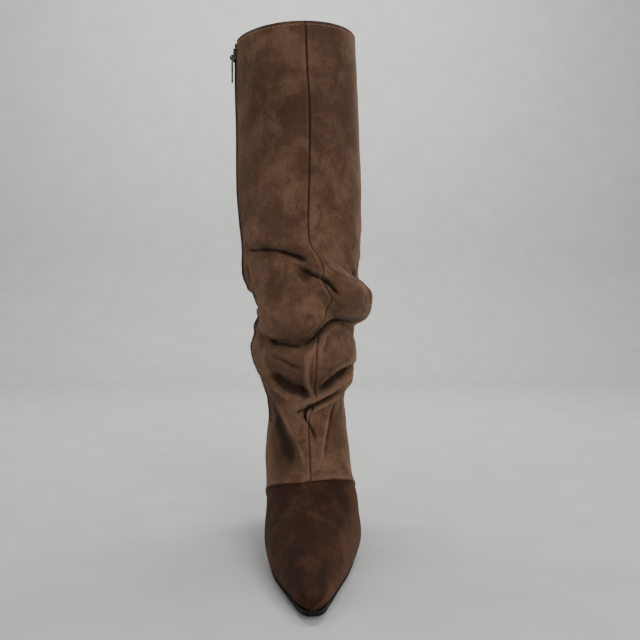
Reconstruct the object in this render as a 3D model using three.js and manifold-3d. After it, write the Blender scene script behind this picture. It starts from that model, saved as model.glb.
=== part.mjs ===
// A slouchy knee-high dress boot for the left foot: pointed toe, thin sole, covered block heel, inside zip.
// Millimetres, +Z up. The toe points to -Y and the zip is on the -X side. The origin is on the floor,
// in the middle of the heel's ground face.
import * as THREE from 'three';
import { mergeVertices } from 'three/addons/utils/BufferGeometryUtils.js';
import Module from 'manifold-3d';

const wasm = await Module();
wasm.setup();

// The foot
const FOOT_LENGTH = 262; // toe tip to the back of the heel, in plan
const HEEL_OVERHANG = 30; // back of the heel behind the middle of the heel's ground face
const BALL_WIDTH = 88;
const INSTEP_HEIGHT = 67.5; // top of the vamp at its seam, above the floor
const HEEL_HEIGHT = 72; // floor to the seat, over the middle of the heel
const TOE_SPRING = 5.5;

// The leg
const SHAFT_HEIGHT = 422; // heel seat to collar
const SHAFT_WIDTH = 126;
const SHAFT_DEPTH = 112;
const SHAFT_AXIS_Y = -24; // middle of the leg, measured from the middle of the heel
const SHAFT_LEAN = 11.4; // how far the collar leans to the inside of the leg
const COLLAR_TILT = 4.5; // how far the collar's outer side stands above its middle
const COLLAR_DIP = 3; // how far the collar's front lies below its back
const SLOUCH_DEPTH = 16; // how far the largest fold stands out
const SLOUCH_REACH = 24; // how far the widest fold reaches up or down from its crest

// Walls, soles and clearances
const SHAFT_WALL = 2.0;
const VAMP_WALL = 1.5;
const SEAM_STEP = 0.7; // the leg's lower edge lies this far outside the vamp
const SOLE_THICKNESS = 4.0;
const WAIST_THICKNESS = 3.0;
const SOLE_EDGE = 0.8; // how far the sole stands out past the upper
const INSOLE_THICKNESS = 2.5;
const INSOLE_CLEARANCE = 0.7;
const GAP = 0.3;

// The heel
const HEEL_BREAST_Y = -22;
const LIFT_THICKNESS = 6;
const LIFT_WIDTH = 32;
const LIFT_LENGTH = 30;
const HEEL_FLARE = 1.9; // power of the curve from the lift to the seat

// The zip
const ZIP_Y = -38; // the zip's line, on the inside of the leg
const ZIP_OPENING = 8;
const ZIP_THICKNESS = 1.1;
const ZIP_INSET = 0.5;
const ZIP_FOOT_HEIGHT = 40; // lower end of the zip above the heel seat
const ZIP_TOP_DROP = 3; // upper end of the zip below the collar
const SLIDER_DROP = 13; // middle of the slider below the collar
const SLIDER_LENGTH = 13;
const SLIDER_WIDTH = 7;
const SLIDER_THICKNESS = 2.4;
const BAIL_DROP = 2.5; // the bail's middle below the slider's
const BAIL_WIDTH = 2;
const BAIL_THICKNESS = 1.3;
const PULL_BAR_RADIUS = 0.8; // the bar that turns in the bail
const PULL_CLEARANCE = 0.4; // between the pull and the slider with its bail
const PULL_THICKNESS = 1.2;
const PULL_ARM = 1.3;
const PULL_LENGTH = 25; // from the bar to the tip
const PULL_TIP_WIDTH = 4.4;

const TOE_Y = HEEL_OVERHANG - FOOT_LENGTH;
const BOOT_HEIGHT = HEEL_HEIGHT + SHAFT_HEIGHT;
const SOLE_RISE = HEEL_HEIGHT - SOLE_THICKNESS;

// A table with a row for each list of values, under the names of its columns
function table(names, rows) {
  return rows.map((row) => Object.fromEntries(names.map((name, i) => [name, row[i]])));
}

// The feather line, where upper and sole meet. along: share of the foot's length from the toe.
// spring: share of the toe spring. rise: share of the climb from forefoot to heel seat.
// thickness: 1 is the forefoot's sole and 0 the waist's.
const FEATHER = table(['along', 'spring', 'rise', 'thickness'], [
  [  0.0,  1.0,     0,   1],
  [ 0.08, 0.42,     0,   1],
  [ 0.17,  0.1,     0,   1],
  [ 0.25,    0,     0,   1],
  [ 0.44,    0,     0,   1],
  [0.485,    0, 0.024, 0.8],
  [0.523,    0,  0.08, 0.5],
  [ 0.58,    0,   0.2, 0.2],
  [0.637,    0, 0.368,   0],
  [0.695,    0, 0.544,   0],
  [0.752,    0, 0.706,   0],
  [0.809,    0, 0.846,   0],
  [0.885,    0,   1.0,   0],
  [0.943,    0, 1.056,   0],
  [  1.0,    0,  1.11,   0],
  [ 1.12,    0,  1.23,   0],
]);

// Sections of the last, from the toe tip round the heel to the ankle. Each lies in a plane from a point on
// the top line to a point on the bottom line. top and bottom: shares of the foot's length from the toe.
// rise and lift: shares of the instep's and the heel's height that give the top point's height.
// sit: height of the bottom point over the feather line, as a share of the instep's. inner and outer: half
// widths, as shares of half the ball's width. widest: where along the plane it is widest. base: power of its
// lower half, 2 for round.
const LAST = table(['top', 'rise', 'lift', 'bottom', 'sit', 'inner', 'outer', 'widest', 'base'], [
  [0.001,   0.2,    0, 0.004,  -0.03, 0.057, 0.057,   0.5,    2],
  [0.006, 0.255,    0, 0.009,  -0.03, 0.125, 0.125,   0.5,    2],
  [0.022, 0.315,    0, 0.022, -0.033, 0.211, 0.211,  0.46,    2],
  [0.051,  0.37,    0, 0.051, -0.039, 0.295, 0.295,  0.41,    2],
  [0.099, 0.435,    0, 0.099, -0.043, 0.402, 0.402, 0.364,    2],
  [ 0.16, 0.515,    0,  0.16, -0.053, 0.525,  0.54, 0.334,    2],
  [0.229, 0.605,    0, 0.232, -0.071,  0.65, 0.672, 0.328,  2.1],
  [0.313,  0.71,    0,  0.32, -0.089, 0.775, 0.828,  0.32,  2.4],
  [0.405,  0.84,    0,  0.42, -0.089, 0.863,  0.99,   0.3,  2.7],
  [0.489,   1.0,    0, 0.515, -0.089, 0.909,   1.1,  0.31,  3.0],
  [0.546,   1.0, 0.18, 0.618, -0.089,  0.89,  1.09,  0.34,  3.0],
  [ 0.58,   1.0, 0.37, 0.721, -0.089,   0.9,  0.99,  0.38,  2.8],
  [0.596,   1.0, 0.54, 0.828, -0.089,  0.93, 0.966,  0.43,  2.6],
  [  0.6,   1.0, 0.68, 0.931, -0.089, 0.923, 0.955,  0.47, 2.45],
  [  0.6,   1.0, 0.79, 0.992, -0.052,   0.9, 0.927,   0.5, 2.25],
  [0.599,   1.0,  0.9, 1.012,  0.178, 0.875, 0.914,   0.5,  2.1],
  [0.596,   1.0, 1.03, 1.004,  0.533, 0.895, 0.885,   0.5,    2],
]);

// Level sections of the leg. up: share of the leg's height above the heel seat. lean: share of its lean.
// width and depth: shares of its width and depth. back: how far the middle lies behind its axis, as a share
// of its depth.
const LEG = table(['up', 'lean', 'width', 'depth', 'back'], [
  [ 0.19, 0.15, 0.705,  0.92, -0.0045],
  [0.225, 0.15, 0.755, 0.945, -0.0089],
  [0.268, 0.15,  0.78, 0.965, -0.0089],
  [0.315, 0.17, 0.815,  0.98, -0.0089],
  [0.363, 0.24,  0.85,   1.0, -0.0045],
  [0.438,  0.4, 0.913,  1.01, -0.0045],
  [0.536,  0.5,  0.97,  1.02,       0],
  [0.652, 0.66, 1.008,  1.01,  0.0045],
  [0.787, 0.77, 0.993,   1.0,  0.0045],
  [0.884, 0.89, 0.988,  0.99,       0],
  [  1.0,  1.0, 0.968, 0.975, -0.0045],
]);

// The slouch. path: [angle, up] points along a fold, with 0 degrees at the front, 90 at the outer side
// and -90 or 270 at the inner side, and up as in LEG. out: share of the largest fold's depth, below 0 in a
// trough. over and under: shares of the fold's reach on its two sides. sag: share of out that it droops.
// crown: power of its section, 2 for round and more for a flat top.
const FOLDS = [
  { name: 'outer roll', path: [[12, 0.44], [30, 0.408], [47, 0.39], [70, 0.38], [105, 0.378], [150, 0.388]],
    out: 0.95, over: 1.0, under: 1.12, sag: 0.2, crown: 4 },
  { name: 'hollow under the roll', path: [[0, 0.283], [16, 0.308], [40, 0.328], [60, 0.325], [82, 0.31]],
    out: -0.5, over: 0.45, under: 0.55, sag: 0 },
  { name: 'crease under the front panel', path: [[-52, 0.283], [-25, 0.277], [4, 0.278]],
    out: -0.4, over: 0.45, under: 0.45, sag: 0 },
  { name: 'front panel', path: [[-55, 0.335], [-20, 0.335], [10, 0.355]],
    out: 0.34, over: 1.0, under: 0.8, sag: 0.2 },
  { name: 'crease across the shin', path: [[-8, 0.448], [14, 0.428], [36, 0.398]],
    out: -0.45, over: 0.5, under: 0.55, sag: 0 },
  { name: 'shin fold', path: [[-62, 0.515], [-25, 0.51], [10, 0.485]],
    out: 0.2, over: 0.8, under: 0.6, sag: 0.3 },
  { name: 'crease under the shin fold', path: [[-60, 0.492], [-20, 0.483], [10, 0.462]],
    out: -0.22, over: 0.5, under: 0.5, sag: 0 },
  { name: 'inner upper bulge', path: [[-150, 0.45], [-100, 0.44], [-68, 0.436]],
    out: 0.14, over: 1.3, under: 0.5, sag: 0.4 },
  { name: 'inner hollow', path: [[-150, 0.368], [-95, 0.36], [-60, 0.35]],
    out: -0.46, over: 0.75, under: 0.75, sag: 0 },
  { name: 'inner lower bulge', path: [[-150, 0.285], [-95, 0.272], [-58, 0.262]],
    out: 0.36, over: 0.6, under: 1.5, sag: 0.2 },
  { name: 'front hollow', path: [[-50, 0.205], [-20, 0.188], [4, 0.172]],
    out: -0.5, over: 0.75, under: 0.5, sag: 0 },
  { name: 'outer lower panel', path: [[18, 0.262], [60, 0.252], [110, 0.245]],
    out: 0.26, over: 0.9, under: 0.8, sag: 0.2 },
  { name: 'outer ankle crease', path: [[14, 0.176], [34, 0.195], [64, 0.218]],
    out: -0.24, over: 0.5, under: 0.5, sag: 0 },
  { name: 'ankle roll', path: [[-22, 0.13], [5, 0.146], [30, 0.165], [80, 0.194], [120, 0.2]],
    out: 0.28, over: 0.6, under: 0.6, sag: 0.2 },
  { name: 'back fold, upper', path: [[130, 0.455], [180, 0.462], [215, 0.45]],
    out: 0.38, over: 0.9, under: 0.55, sag: 0.3 },
  { name: 'back crease, upper', path: [[140, 0.395], [180, 0.402], [225, 0.392]],
    out: -0.3, over: 0.5, under: 0.5, sag: 0 },
  { name: 'back fold, middle', path: [[110, 0.345], [180, 0.35], [225, 0.338]],
    out: 0.36, over: 0.7, under: 0.55, sag: 0.3 },
  { name: 'back crease, middle', path: [[120, 0.29], [180, 0.294], [220, 0.3]],
    out: -0.3, over: 0.45, under: 0.45, sag: 0 },
  { name: 'back fold, lower', path: [[110, 0.24], [180, 0.245], [240, 0.235]],
    out: 0.34, over: 0.65, under: 0.55, sag: 0.3 },
  { name: 'back crease, lower', path: [[100, 0.19], [180, 0.186], [250, 0.184]],
    out: -0.24, over: 0.45, under: 0.55, sag: 0 },
];
const FOLD_FADE = 26; // degrees over which a fold dies out at its ends

// How the upper is divided into faces
const AROUND = 40;
const FRONT_CROWDING = 0.22; // facets are narrower in front, where the folds are
const SLOUCH_FROM = 0.203;
const SLOUCH_TO = 0.53;
const SLOUCH_RINGS = 21;
const PLAIN_RINGS = 5;
const ANKLE_ROW = 12; // rings lie twice as close in LAST after this row

const radians = THREE.MathUtils.degToRad;
const lerp = THREE.MathUtils.lerp;

// A smooth curve through a table's column, with no overshoot
function column(table, key, at, value) {
  const x = table.map((row, i) => (key === null ? i : row[key]));
  const y = table.map((row) => row[value]);
  const last = x.length - 1;
  if (at <= x[0]) return y[0];
  if (at >= x[last]) return y[last];
  const slope = (i) => (y[i + 1] - y[i]) / (x[i + 1] - x[i]);
  const tangent = (i) => {
    if (i === 0) return slope(0);
    if (i === last) return slope(last - 1);
    const before = slope(i - 1);
    const after = slope(i);
    return before * after <= 0 ? 0 : (2 * before * after) / (before + after);
  };
  const i = x.findIndex((_, k) => at < x[k + 1]);
  const span = x[i + 1] - x[i];
  const t = (at - x[i]) / span;
  const [t2, t3] = [t * t, t * t * t];
  return (2 * t3 - 3 * t2 + 1) * y[i] + (t3 - 2 * t2 + t) * span * tangent(i)
    + (3 * t2 - 2 * t3) * y[i + 1] + (t3 - t2) * span * tangent(i + 1);
}

const yAlong = (share) => TOE_Y + share * FOOT_LENGTH;
const shareOf = (y) => (y - TOE_Y) / FOOT_LENGTH;

function featherHeight(y) {
  const at = (value) => column(FEATHER, 'along', shareOf(y), value);
  return SOLE_THICKNESS + at('spring') * TOE_SPRING + at('rise') * SOLE_RISE;
}

function soleThickness(y) {
  return lerp(WAIST_THICKNESS, SOLE_THICKNESS, column(FEATHER, 'along', shareOf(y), 'thickness'));
}

// A section of the last, at row number v of its table
function lastSection(v) {
  const at = (value) => column(LAST, null, v, value);
  const bottomY = yAlong(at('bottom'));
  return {
    top: [yAlong(at('top')), at('rise') * INSTEP_HEIGHT + at('lift') * HEEL_HEIGHT],
    bottom: [bottomY, featherHeight(bottomY) + at('sit') * INSTEP_HEIGHT],
    middle: 0,
    inner: at('inner') * BALL_WIDTH / 2,
    outer: at('outer') * BALL_WIDTH / 2,
    widest: at('widest'),
    base: at('base'),
  };
}

// A level section of the leg
function legSection(up) {
  const at = (value) => column(LEG, 'up', up, value);
  const z = HEEL_HEIGHT + up * SHAFT_HEIGHT;
  const y = SHAFT_AXIS_Y + at('back') * SHAFT_DEPTH;
  const half = at('depth') * SHAFT_DEPTH / 2;
  const width = at('width') * SHAFT_WIDTH / 2;
  return { top: [y - half, z], bottom: [y + half, z], middle: -at('lean') * SHAFT_LEAN,
    inner: width, outer: width, widest: 0.5, base: 2 };
}

function sectionPoint(section, angle) {
  const [c, s] = [Math.cos(angle), Math.sin(angle)];
  const power = c >= 0 ? 1 : 2 / section.base;
  const reach = Math.abs(c) ** power;
  const t = c >= 0 ? section.widest + (1 - section.widest) * reach : section.widest * (1 - reach);
  const half = s >= 0 ? section.outer : section.inner;
  return new THREE.Vector3(
    section.middle + Math.sign(s) * half * Math.abs(s) ** power,
    lerp(section.bottom[0], section.top[0], t),
    lerp(section.bottom[1], section.top[1], t),
  );
}

// 1 on the crest of a fold, 0 at its reach
const swell = (u, crown = 2) => (Math.abs(u) < 1 ? (1 - Math.abs(u) ** crown) ** 2 : 0);

// How far a fold moves a point of the leg out, and down
function foldMove(fold, angle, up) {
  const { path } = fold;
  const [first, last] = [path[0][0], path[path.length - 1][0]];
  let degrees = THREE.MathUtils.radToDeg(angle);
  degrees += 360 * Math.round(((first + last) / 2 - degrees) / 360);
  const inside = Math.min(degrees - first, last - degrees);
  const fade = THREE.MathUtils.smoothstep(inside, -FOLD_FADE / 2, FOLD_FADE / 2);
  const above = (up - column(path, 0, degrees, 1)) * SHAFT_HEIGHT;
  const reach = (above > 0 ? fold.over : fold.under) * SLOUCH_REACH;
  const out = fold.out * SLOUCH_DEPTH * fade * swell(above / reach, fold.crown);
  return { out, down: fold.sag * Math.abs(out) };
}

// How far the collar stands above its middle height
function collarRise(angle) {
  return COLLAR_TILT * Math.sin(angle) - COLLAR_DIP * (1 + Math.cos(angle)) / 2;
}

// The angles of a ring's points, closer together at the front
const ANGLES = Array.from({ length: AROUND }, (_, i) => {
  const even = (i / AROUND) * 2 * Math.PI - Math.PI;
  return even - FRONT_CROWDING * Math.sin(even);
});

// Rings of points over the whole boot, from the toe tip to the collar, with the folds in
function bootRings() {
  const rings = [];
  LAST.forEach((_, row) => {
    const steps = row > ANKLE_ROW ? [row - 0.5, row] : [row];
    steps.forEach((v) => {
      const section = lastSection(v);
      rings.push(ANGLES.map((angle) => sectionPoint(section, angle)));
    });
  });
  const ups = [LEG[0].up];
  for (let k = 0; k <= SLOUCH_RINGS; k += 1) ups.push(lerp(SLOUCH_FROM, SLOUCH_TO, k / SLOUCH_RINGS));
  for (let k = 1; k <= PLAIN_RINGS; k += 1) ups.push(lerp(SLOUCH_TO, 1, k / PLAIN_RINGS));
  ups.forEach((up) => {
    const section = legSection(up);
    const share = THREE.MathUtils.smoothstep(up, SLOUCH_TO, 1);
    rings.push(ANGLES.map((angle) => {
      const point = sectionPoint(section, angle);
      point.z += share * collarRise(angle);
      return point;
    }));
  });
  return rings.map((ring) => ring.map((point, i) => folded(point, ANGLES[i])));
}

// A point of the plain surface, moved by every fold
function folded(point, angle) {
  const up = (point.z - HEEL_HEIGHT) / SHAFT_HEIGHT;
  const outward = new THREE.Vector3(Math.sin(angle), -Math.cos(angle), 0);
  const moved = point.clone();
  FOLDS.forEach((fold) => {
    const { out, down } = foldMove(fold, angle, up);
    moved.addScaledVector(outward, out);
    moved.z -= down;
  });
  return moved;
}

const RINGS = bootRings();

// The outward direction at each point of the rings
const NORMALS = RINGS.map((ring, k) => ring.map((point, i) => {
  const along = RINGS[Math.min(k + 1, RINGS.length - 1)][i].clone().sub(RINGS[Math.max(k - 1, 0)][i]);
  const around = ring[(i + 1) % AROUND].clone().sub(ring[(i + AROUND - 1) % AROUND]);
  return around.cross(along).normalize();
}));

// A closed solid from rings of points, each end closed on its own middle
function ringSolid(rings) {
  const n = rings[0].length;
  const mean = (ring) => ring.reduce((sum, p) => sum.add(p), new THREE.Vector3()).divideScalar(n);
  const points = [...rings.flat(), mean(rings[0]), mean(rings[rings.length - 1])];
  const [first, last] = [points.length - 2, points.length - 1];
  const top = (rings.length - 1) * n;
  const faces = [];
  for (let i = 0; i < n; i += 1) {
    const j = (i + 1) % n;
    for (let k = 0; k < rings.length - 1; k += 1) {
      const [a, b, c, d] = [k * n + i, k * n + j, (k + 1) * n + j, (k + 1) * n + i];
      const shorter = points[a].distanceTo(points[c]) < points[b].distanceTo(points[d]);
      faces.push(...(shorter ? [a, b, c, a, c, d] : [a, b, d, b, c, d]));
    }
    faces.push(first, j, i, last, top + i, top + j);
  }
  return new wasm.Manifold(new wasm.Mesh({
    numProp: 3,
    vertProperties: new Float32Array(points.flatMap((p) => p.toArray())),
    triVerts: new Uint32Array(faces),
  }));
}

// The boot's form moved in by an inset, with an extra length at the collar to cut it open
function bootForm(inset, extra = 0) {
  const rings = RINGS.map((ring, k) => ring.map((p, i) => p.clone().addScaledVector(NORMALS[k][i], -inset)));
  if (extra) rings.push(rings[rings.length - 1].map((p) => p.clone().setZ(p.z + extra)));
  return ringSolid(rings);
}

// three.js geometry to a solid, and back
function solid(geometry) {
  const bare = geometry.clone();
  bare.deleteAttribute('normal');
  bare.deleteAttribute('uv');
  const merged = mergeVertices(bare, 1e-5);
  return new wasm.Manifold(new wasm.Mesh({
    numProp: 3,
    vertProperties: new Float32Array(merged.attributes.position.array),
    triVerts: new Uint32Array(merged.index.array),
  }));
}

function geometryOf(body) {
  const mesh = body.getMesh();
  const geometry = new THREE.BufferGeometry();
  geometry.setAttribute('position', new THREE.BufferAttribute(new Float32Array(mesh.vertProperties), 3));
  geometry.setIndex(new THREE.BufferAttribute(new Uint32Array(mesh.triVerts), 1));
  geometry.computeVertexNormals();
  return geometry;
}

// A prism from an outline in side view, [y, z], between two places across
function sidePrism(outline, fromX, toX) {
  const shape = new THREE.Shape(outline.map(([y, z]) => new THREE.Vector2(y, z)));
  const geometry = new THREE.ExtrudeGeometry(shape, { depth: toX - fromX, bevelEnabled: false });
  geometry.applyMatrix4(new THREE.Matrix4().set(0, 0, 1, fromX, 1, 0, 0, 0, 0, 1, 0, 0, 0, 0, 0, 1));
  return solid(geometry);
}

// A prism from an outline in plan, [x, y], between two heights
function planPrism(outline, fromZ, toZ) {
  const shape = new THREE.Shape(outline.map(([x, y]) => new THREE.Vector2(x, y)));
  const geometry = new THREE.ExtrudeGeometry(shape, { depth: toZ - fromZ, bevelEnabled: false });
  geometry.translate(0, 0, fromZ);
  return solid(geometry);
}

const CLEAR = SHAFT_WIDTH; // further out than any wall
const PROFILE_STEPS = 34;
const PROFILE_FROM = -0.05; // the sampled feather line's ends, as shares of the foot's length
const PROFILE_TO = 1.1;
const OUTLINE_STEPS = 30; // points along each side of the feather's outline
const INSOLE_FROM = 0.035; // the insole's front end, as a share of the foot's length
const HEEL_LEVELS = 8;
const HEEL_LOFT_PAST = 1.12; // the heel's loft runs past the seat and is cut to it

// Points along the feather line's height, from ahead of the toe to behind the heel
function profile(height) {
  return Array.from({ length: PROFILE_STEPS + 1 }, (_, i) => {
    const y = yAlong(lerp(PROFILE_FROM, PROFILE_TO, i / PROFILE_STEPS));
    return [y, height(y)];
  });
}

// A box right across the boot, from an oblong in side view
function sideBox(fromY, toY, fromZ, toZ, fromX = -CLEAR, toX = CLEAR) {
  return sidePrism([[fromY, fromZ], [toY, fromZ], [toY, toZ], [fromY, toZ]], fromX, toX);
}

// What lies between two lines that follow the feather line
function featherBand(under, over) {
  return sidePrism([...profile(under), ...profile(over).reverse()], -CLEAR, CLEAR);
}

// Everything under a line that follows the feather line
function underFeather(over) {
  return featherBand(() => -CLEAR, (y) => featherHeight(y) + over);
}

// The seam across the vamp in side view. along: share of the foot's length from the toe.
// rise: share of the instep's height.
const VAMP_SEAM = table(['along', 'rise'], [
  [ 0.41,  1.1],
  [0.489,  1.0],
  [0.545, 0.93],
  [  0.6, 0.83],
  [0.637, 0.69],
  [0.656,  0.5],
  [0.662,    0],
]);
const SEAM_TILT = 0.05; // the seam's inner end is the lower one

function vampRegion(shrink) {
  const seam = VAMP_SEAM.map(({ along, rise }) => [yAlong(along) - shrink, rise * INSTEP_HEIGHT - shrink]);
  const front = TOE_Y - CLEAR;
  const outline = [[front, -CLEAR], [seam[seam.length - 1][0], -CLEAR], ...seam.reverse(),
    [front, seam[seam.length - 1][1]]];
  const tilt = new THREE.Matrix4();
  tilt.elements[2] = SEAM_TILT; // each point rises with its distance to the outer side
  return sidePrism(outline, -CLEAR, CLEAR).transform(tilt.elements);
}

// The zip's strip, on the inside of the leg
function zipRegion(width, foot, head) {
  return sideBox(ZIP_Y - width / 2, ZIP_Y + width / 2, foot, head, -CLEAR, -SHAFT_WIDTH / 6);
}

// The place between low and high where a test that fails at low starts to hold
function turningPoint(low, high, holds) {
  let [below, above] = [low, high];
  for (let n = 0; n < 40; n += 1) {
    const middle = (below + above) / 2;
    if (holds(middle)) above = middle;
    else below = middle;
  }
  return below;
}

// Height of a section's point over the feather line
function overFeather(section, angle) {
  const p = sectionPoint(section, angle);
  return p.z - featherHeight(p.y);
}

// The line in plan where the upper meets the sole, from the heel along the inner side to the toe and back
function featherOutline(grow) {
  const rows = LAST.length - 1;
  const end = turningPoint(rows / 2, rows, (v) => overFeather(lastSection(v), Math.PI) > 0);
  const steps = Array.from({ length: OUTLINE_STEPS + 1 }, (_, k) => (
    end * Math.sin((k / OUTLINE_STEPS) * Math.PI / 2)
  ));
  const sides = [[], []];
  steps.forEach((v) => {
    const section = lastSection(v);
    [1, -1].forEach((side, index) => {
      const angle = turningPoint(Math.PI / 2, Math.PI, (a) => overFeather(section, side * a) < 0);
      const p = sectionPoint(section, side * angle);
      sides[index].push(new THREE.Vector2(p.x, p.y));
    });
  });
  sides[1].pop();
  const line = [...sides[1].reverse(), ...sides[0]];
  return line.map((p, i) => {
    const before = line[(i + line.length - 1) % line.length];
    const after = line[(i + 1) % line.length];
    const run = after.clone().sub(before).normalize();
    return [p.x + run.y * grow, p.y - run.x * grow];
  });
}

function makeOutsole() {
  const band = featherBand((y) => featherHeight(y) - soleThickness(y), featherHeight);
  const front = sideBox(TOE_Y - CLEAR, HEEL_BREAST_Y - GAP, -CLEAR, BOOT_HEIGHT);
  return planPrism(featherOutline(SOLE_EDGE), -CLEAR, BOOT_HEIGHT).intersect(band).intersect(front);
}

function makeInsole() {
  const band = featherBand((y) => featherHeight(y) + GAP, (y) => featherHeight(y) + GAP + INSOLE_THICKNESS);
  const rear = sideBox(yAlong(INSOLE_FROM), CLEAR, -CLEAR, BOOT_HEIGHT);
  const inset = Math.max(SHAFT_WALL, SEAM_STEP + VAMP_WALL) + INSOLE_CLEARANCE;
  return bootForm(inset).intersect(band).intersect(rear);
}

// The heel's outline where it meets the seat, as far forward as its breast
function seatOutline() {
  const outline = featherOutline(0).filter(([, y]) => y > HEEL_BREAST_Y + GAP);
  const start = outline.findIndex(([x, y], i) => {
    const [px, py] = outline[(i + outline.length - 1) % outline.length];
    return Math.hypot(x - px, y - py) > SHAFT_WIDTH / 4;
  });
  const open = [...outline.slice(start), ...outline.slice(0, start)];
  const [first, last] = [open[0], open[open.length - 1]];
  const breast = [0, 0.25, 0.5, 0.75, 1].map((t) => [lerp(last[0], first[0], t), HEEL_BREAST_Y]);
  return [...open, ...breast];
}

// The outline of the heel, a share of the way up from its lift to its seat
function heelOutline(seat, share) {
  const seatHalf = Math.max(...seat.map(([x]) => Math.abs(x)));
  const seatBack = Math.max(...seat.map(([, y]) => y));
  const seatLength = seatBack - HEEL_BREAST_Y;
  const grow = share ** HEEL_FLARE;
  return seat.map(([x, y]) => {
    const liftX = x / seatHalf * LIFT_WIDTH / 2;
    const liftY = ((y - HEEL_BREAST_Y) / seatLength - 0.5) * LIFT_LENGTH;
    return [lerp(liftX, x, grow), lerp(liftY, y, grow)];
  });
}

function makeHeel() {
  const seat = seatOutline();
  const rings = Array.from({ length: HEEL_LEVELS + 1 }, (_, k) => {
    const share = (k / HEEL_LEVELS) * HEEL_LOFT_PAST;
    return heelOutline(seat, share).map(([x, y], i) => (
      new THREE.Vector3(x, y, lerp(LIFT_THICKNESS + GAP, featherHeight(seat[i][1]), share))
    ));
  });
  return ringSolid(rings).intersect(underFeather(0));
}

function makeHeelLift() {
  return planPrism(heelOutline(seatOutline(), 0), 0, LIFT_THICKNESS);
}

const ABOVE_SOLE = underFeather(GAP);

// Where the zip's line meets a level section
function zipAngle(section) {
  return -turningPoint(0, Math.PI, (a) => sectionPoint(section, -a).y > ZIP_Y);
}

function makeVamp() {
  const shell = bootForm(SEAM_STEP).subtract(bootForm(SEAM_STEP + VAMP_WALL));
  return shell.intersect(vampRegion(GAP)).subtract(ABOVE_SOLE);
}

const ZIP_COLLAR = BOOT_HEIGHT + collarRise(zipAngle(legSection(1))); // the collar's height at the zip
const ZIP_HEAD = ZIP_COLLAR - ZIP_TOP_DROP;
const ZIP_FOOT = HEEL_HEIGHT + ZIP_FOOT_HEIGHT;

function makeShaft() {
  const shell = bootForm(0).subtract(bootForm(SHAFT_WALL, CLEAR));
  const slot = zipRegion(ZIP_OPENING, ZIP_FOOT, BOOT_HEIGHT + CLEAR);
  return shell.subtract(vampRegion(0)).subtract(ABOVE_SOLE).subtract(slot);
}

function makeZipTape() {
  const strip = bootForm(ZIP_INSET, CLEAR).subtract(bootForm(ZIP_INSET + ZIP_THICKNESS, 2 * CLEAR));
  return strip.intersect(zipRegion(ZIP_OPENING - 2 * GAP, ZIP_FOOT + GAP, ZIP_HEAD));
}

// A frame on the zip at a height: x across the zip, y up, z out of the leg
function zipFrame(z) {
  const section = legSection((z - HEEL_HEIGHT) / SHAFT_HEIGHT);
  const angle = zipAngle(section);
  const [before, after] = [angle - 0.01, angle + 0.01].map((a) => sectionPoint(section, a));
  const up = new THREE.Vector3(0, 0, 1);
  const across = after.sub(before).normalize();
  return new THREE.Matrix4().makeBasis(across, up, across.clone().cross(up))
    .setPosition(sectionPoint(section, angle));
}

// A plate from an outline in the frame's x and y, between two heights over the leg
function zipPlate(shape, from, to) {
  const options = { depth: to - from, bevelEnabled: false, curveSegments: 6 };
  const geometry = new THREE.ExtrudeGeometry(shape, options);
  geometry.translate(0, 0, from);
  return geometry;
}

const SLIDER_BASE = GAP - ZIP_INSET; // underside of the slider over the leg's surface
const SLIDER_TOP = SLIDER_BASE + SLIDER_THICKNESS;
const PIVOT_HEIGHT = SLIDER_TOP + PULL_BAR_RADIUS + PULL_CLEARANCE;
const BAIL_INNER = PULL_BAR_RADIUS + PULL_CLEARANCE;
const BAIL_OUTER = BAIL_INNER + BAIL_THICKNESS;
const SLIDER_FRAME = zipFrame(ZIP_COLLAR - SLIDER_DROP);

// Slider with its bail, an arch along the zip that holds the pull's bar
function makeSlider() {
  const half = SLIDER_WIDTH / 2;
  const end = SLIDER_LENGTH / 2;
  const body = new THREE.Shape();
  body.moveTo(-half * 0.6, -end);
  body.lineTo(half * 0.6, -end);
  body.quadraticCurveTo(half, -end, half, -end * 0.5);
  body.lineTo(half, end * 0.3);
  body.quadraticCurveTo(half, end, half * 0.35, end);
  body.lineTo(-half * 0.35, end);
  body.quadraticCurveTo(-half, end, -half, end * 0.3);
  body.lineTo(-half, -end * 0.5);
  body.quadraticCurveTo(-half, -end, -half * 0.6, -end);
  const bail = new THREE.Shape();
  const root = SLIDER_TOP - GAP;
  bail.moveTo(-BAIL_OUTER, root);
  bail.lineTo(-BAIL_INNER, root);
  bail.lineTo(-BAIL_INNER, PIVOT_HEIGHT);
  bail.absarc(0, PIVOT_HEIGHT, BAIL_INNER, Math.PI, 0, true);
  bail.lineTo(BAIL_INNER, root);
  bail.lineTo(BAIL_OUTER, root);
  bail.lineTo(BAIL_OUTER, PIVOT_HEIGHT);
  bail.absarc(0, PIVOT_HEIGHT, BAIL_OUTER, 0, Math.PI, false);
  const arch = new THREE.ExtrudeGeometry(bail, { depth: BAIL_WIDTH, bevelEnabled: false, curveSegments: 8 });
  arch.applyMatrix4(new THREE.Matrix4().set(
    0, 0, 1, -BAIL_WIDTH / 2,
    1, 0, 0, -BAIL_DROP,
    0, 1, 0, 0,
    0, 0, 0, 1,
  ));
  return solid(zipPlate(body, SLIDER_BASE, SLIDER_TOP)).add(solid(arch));
}

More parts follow.
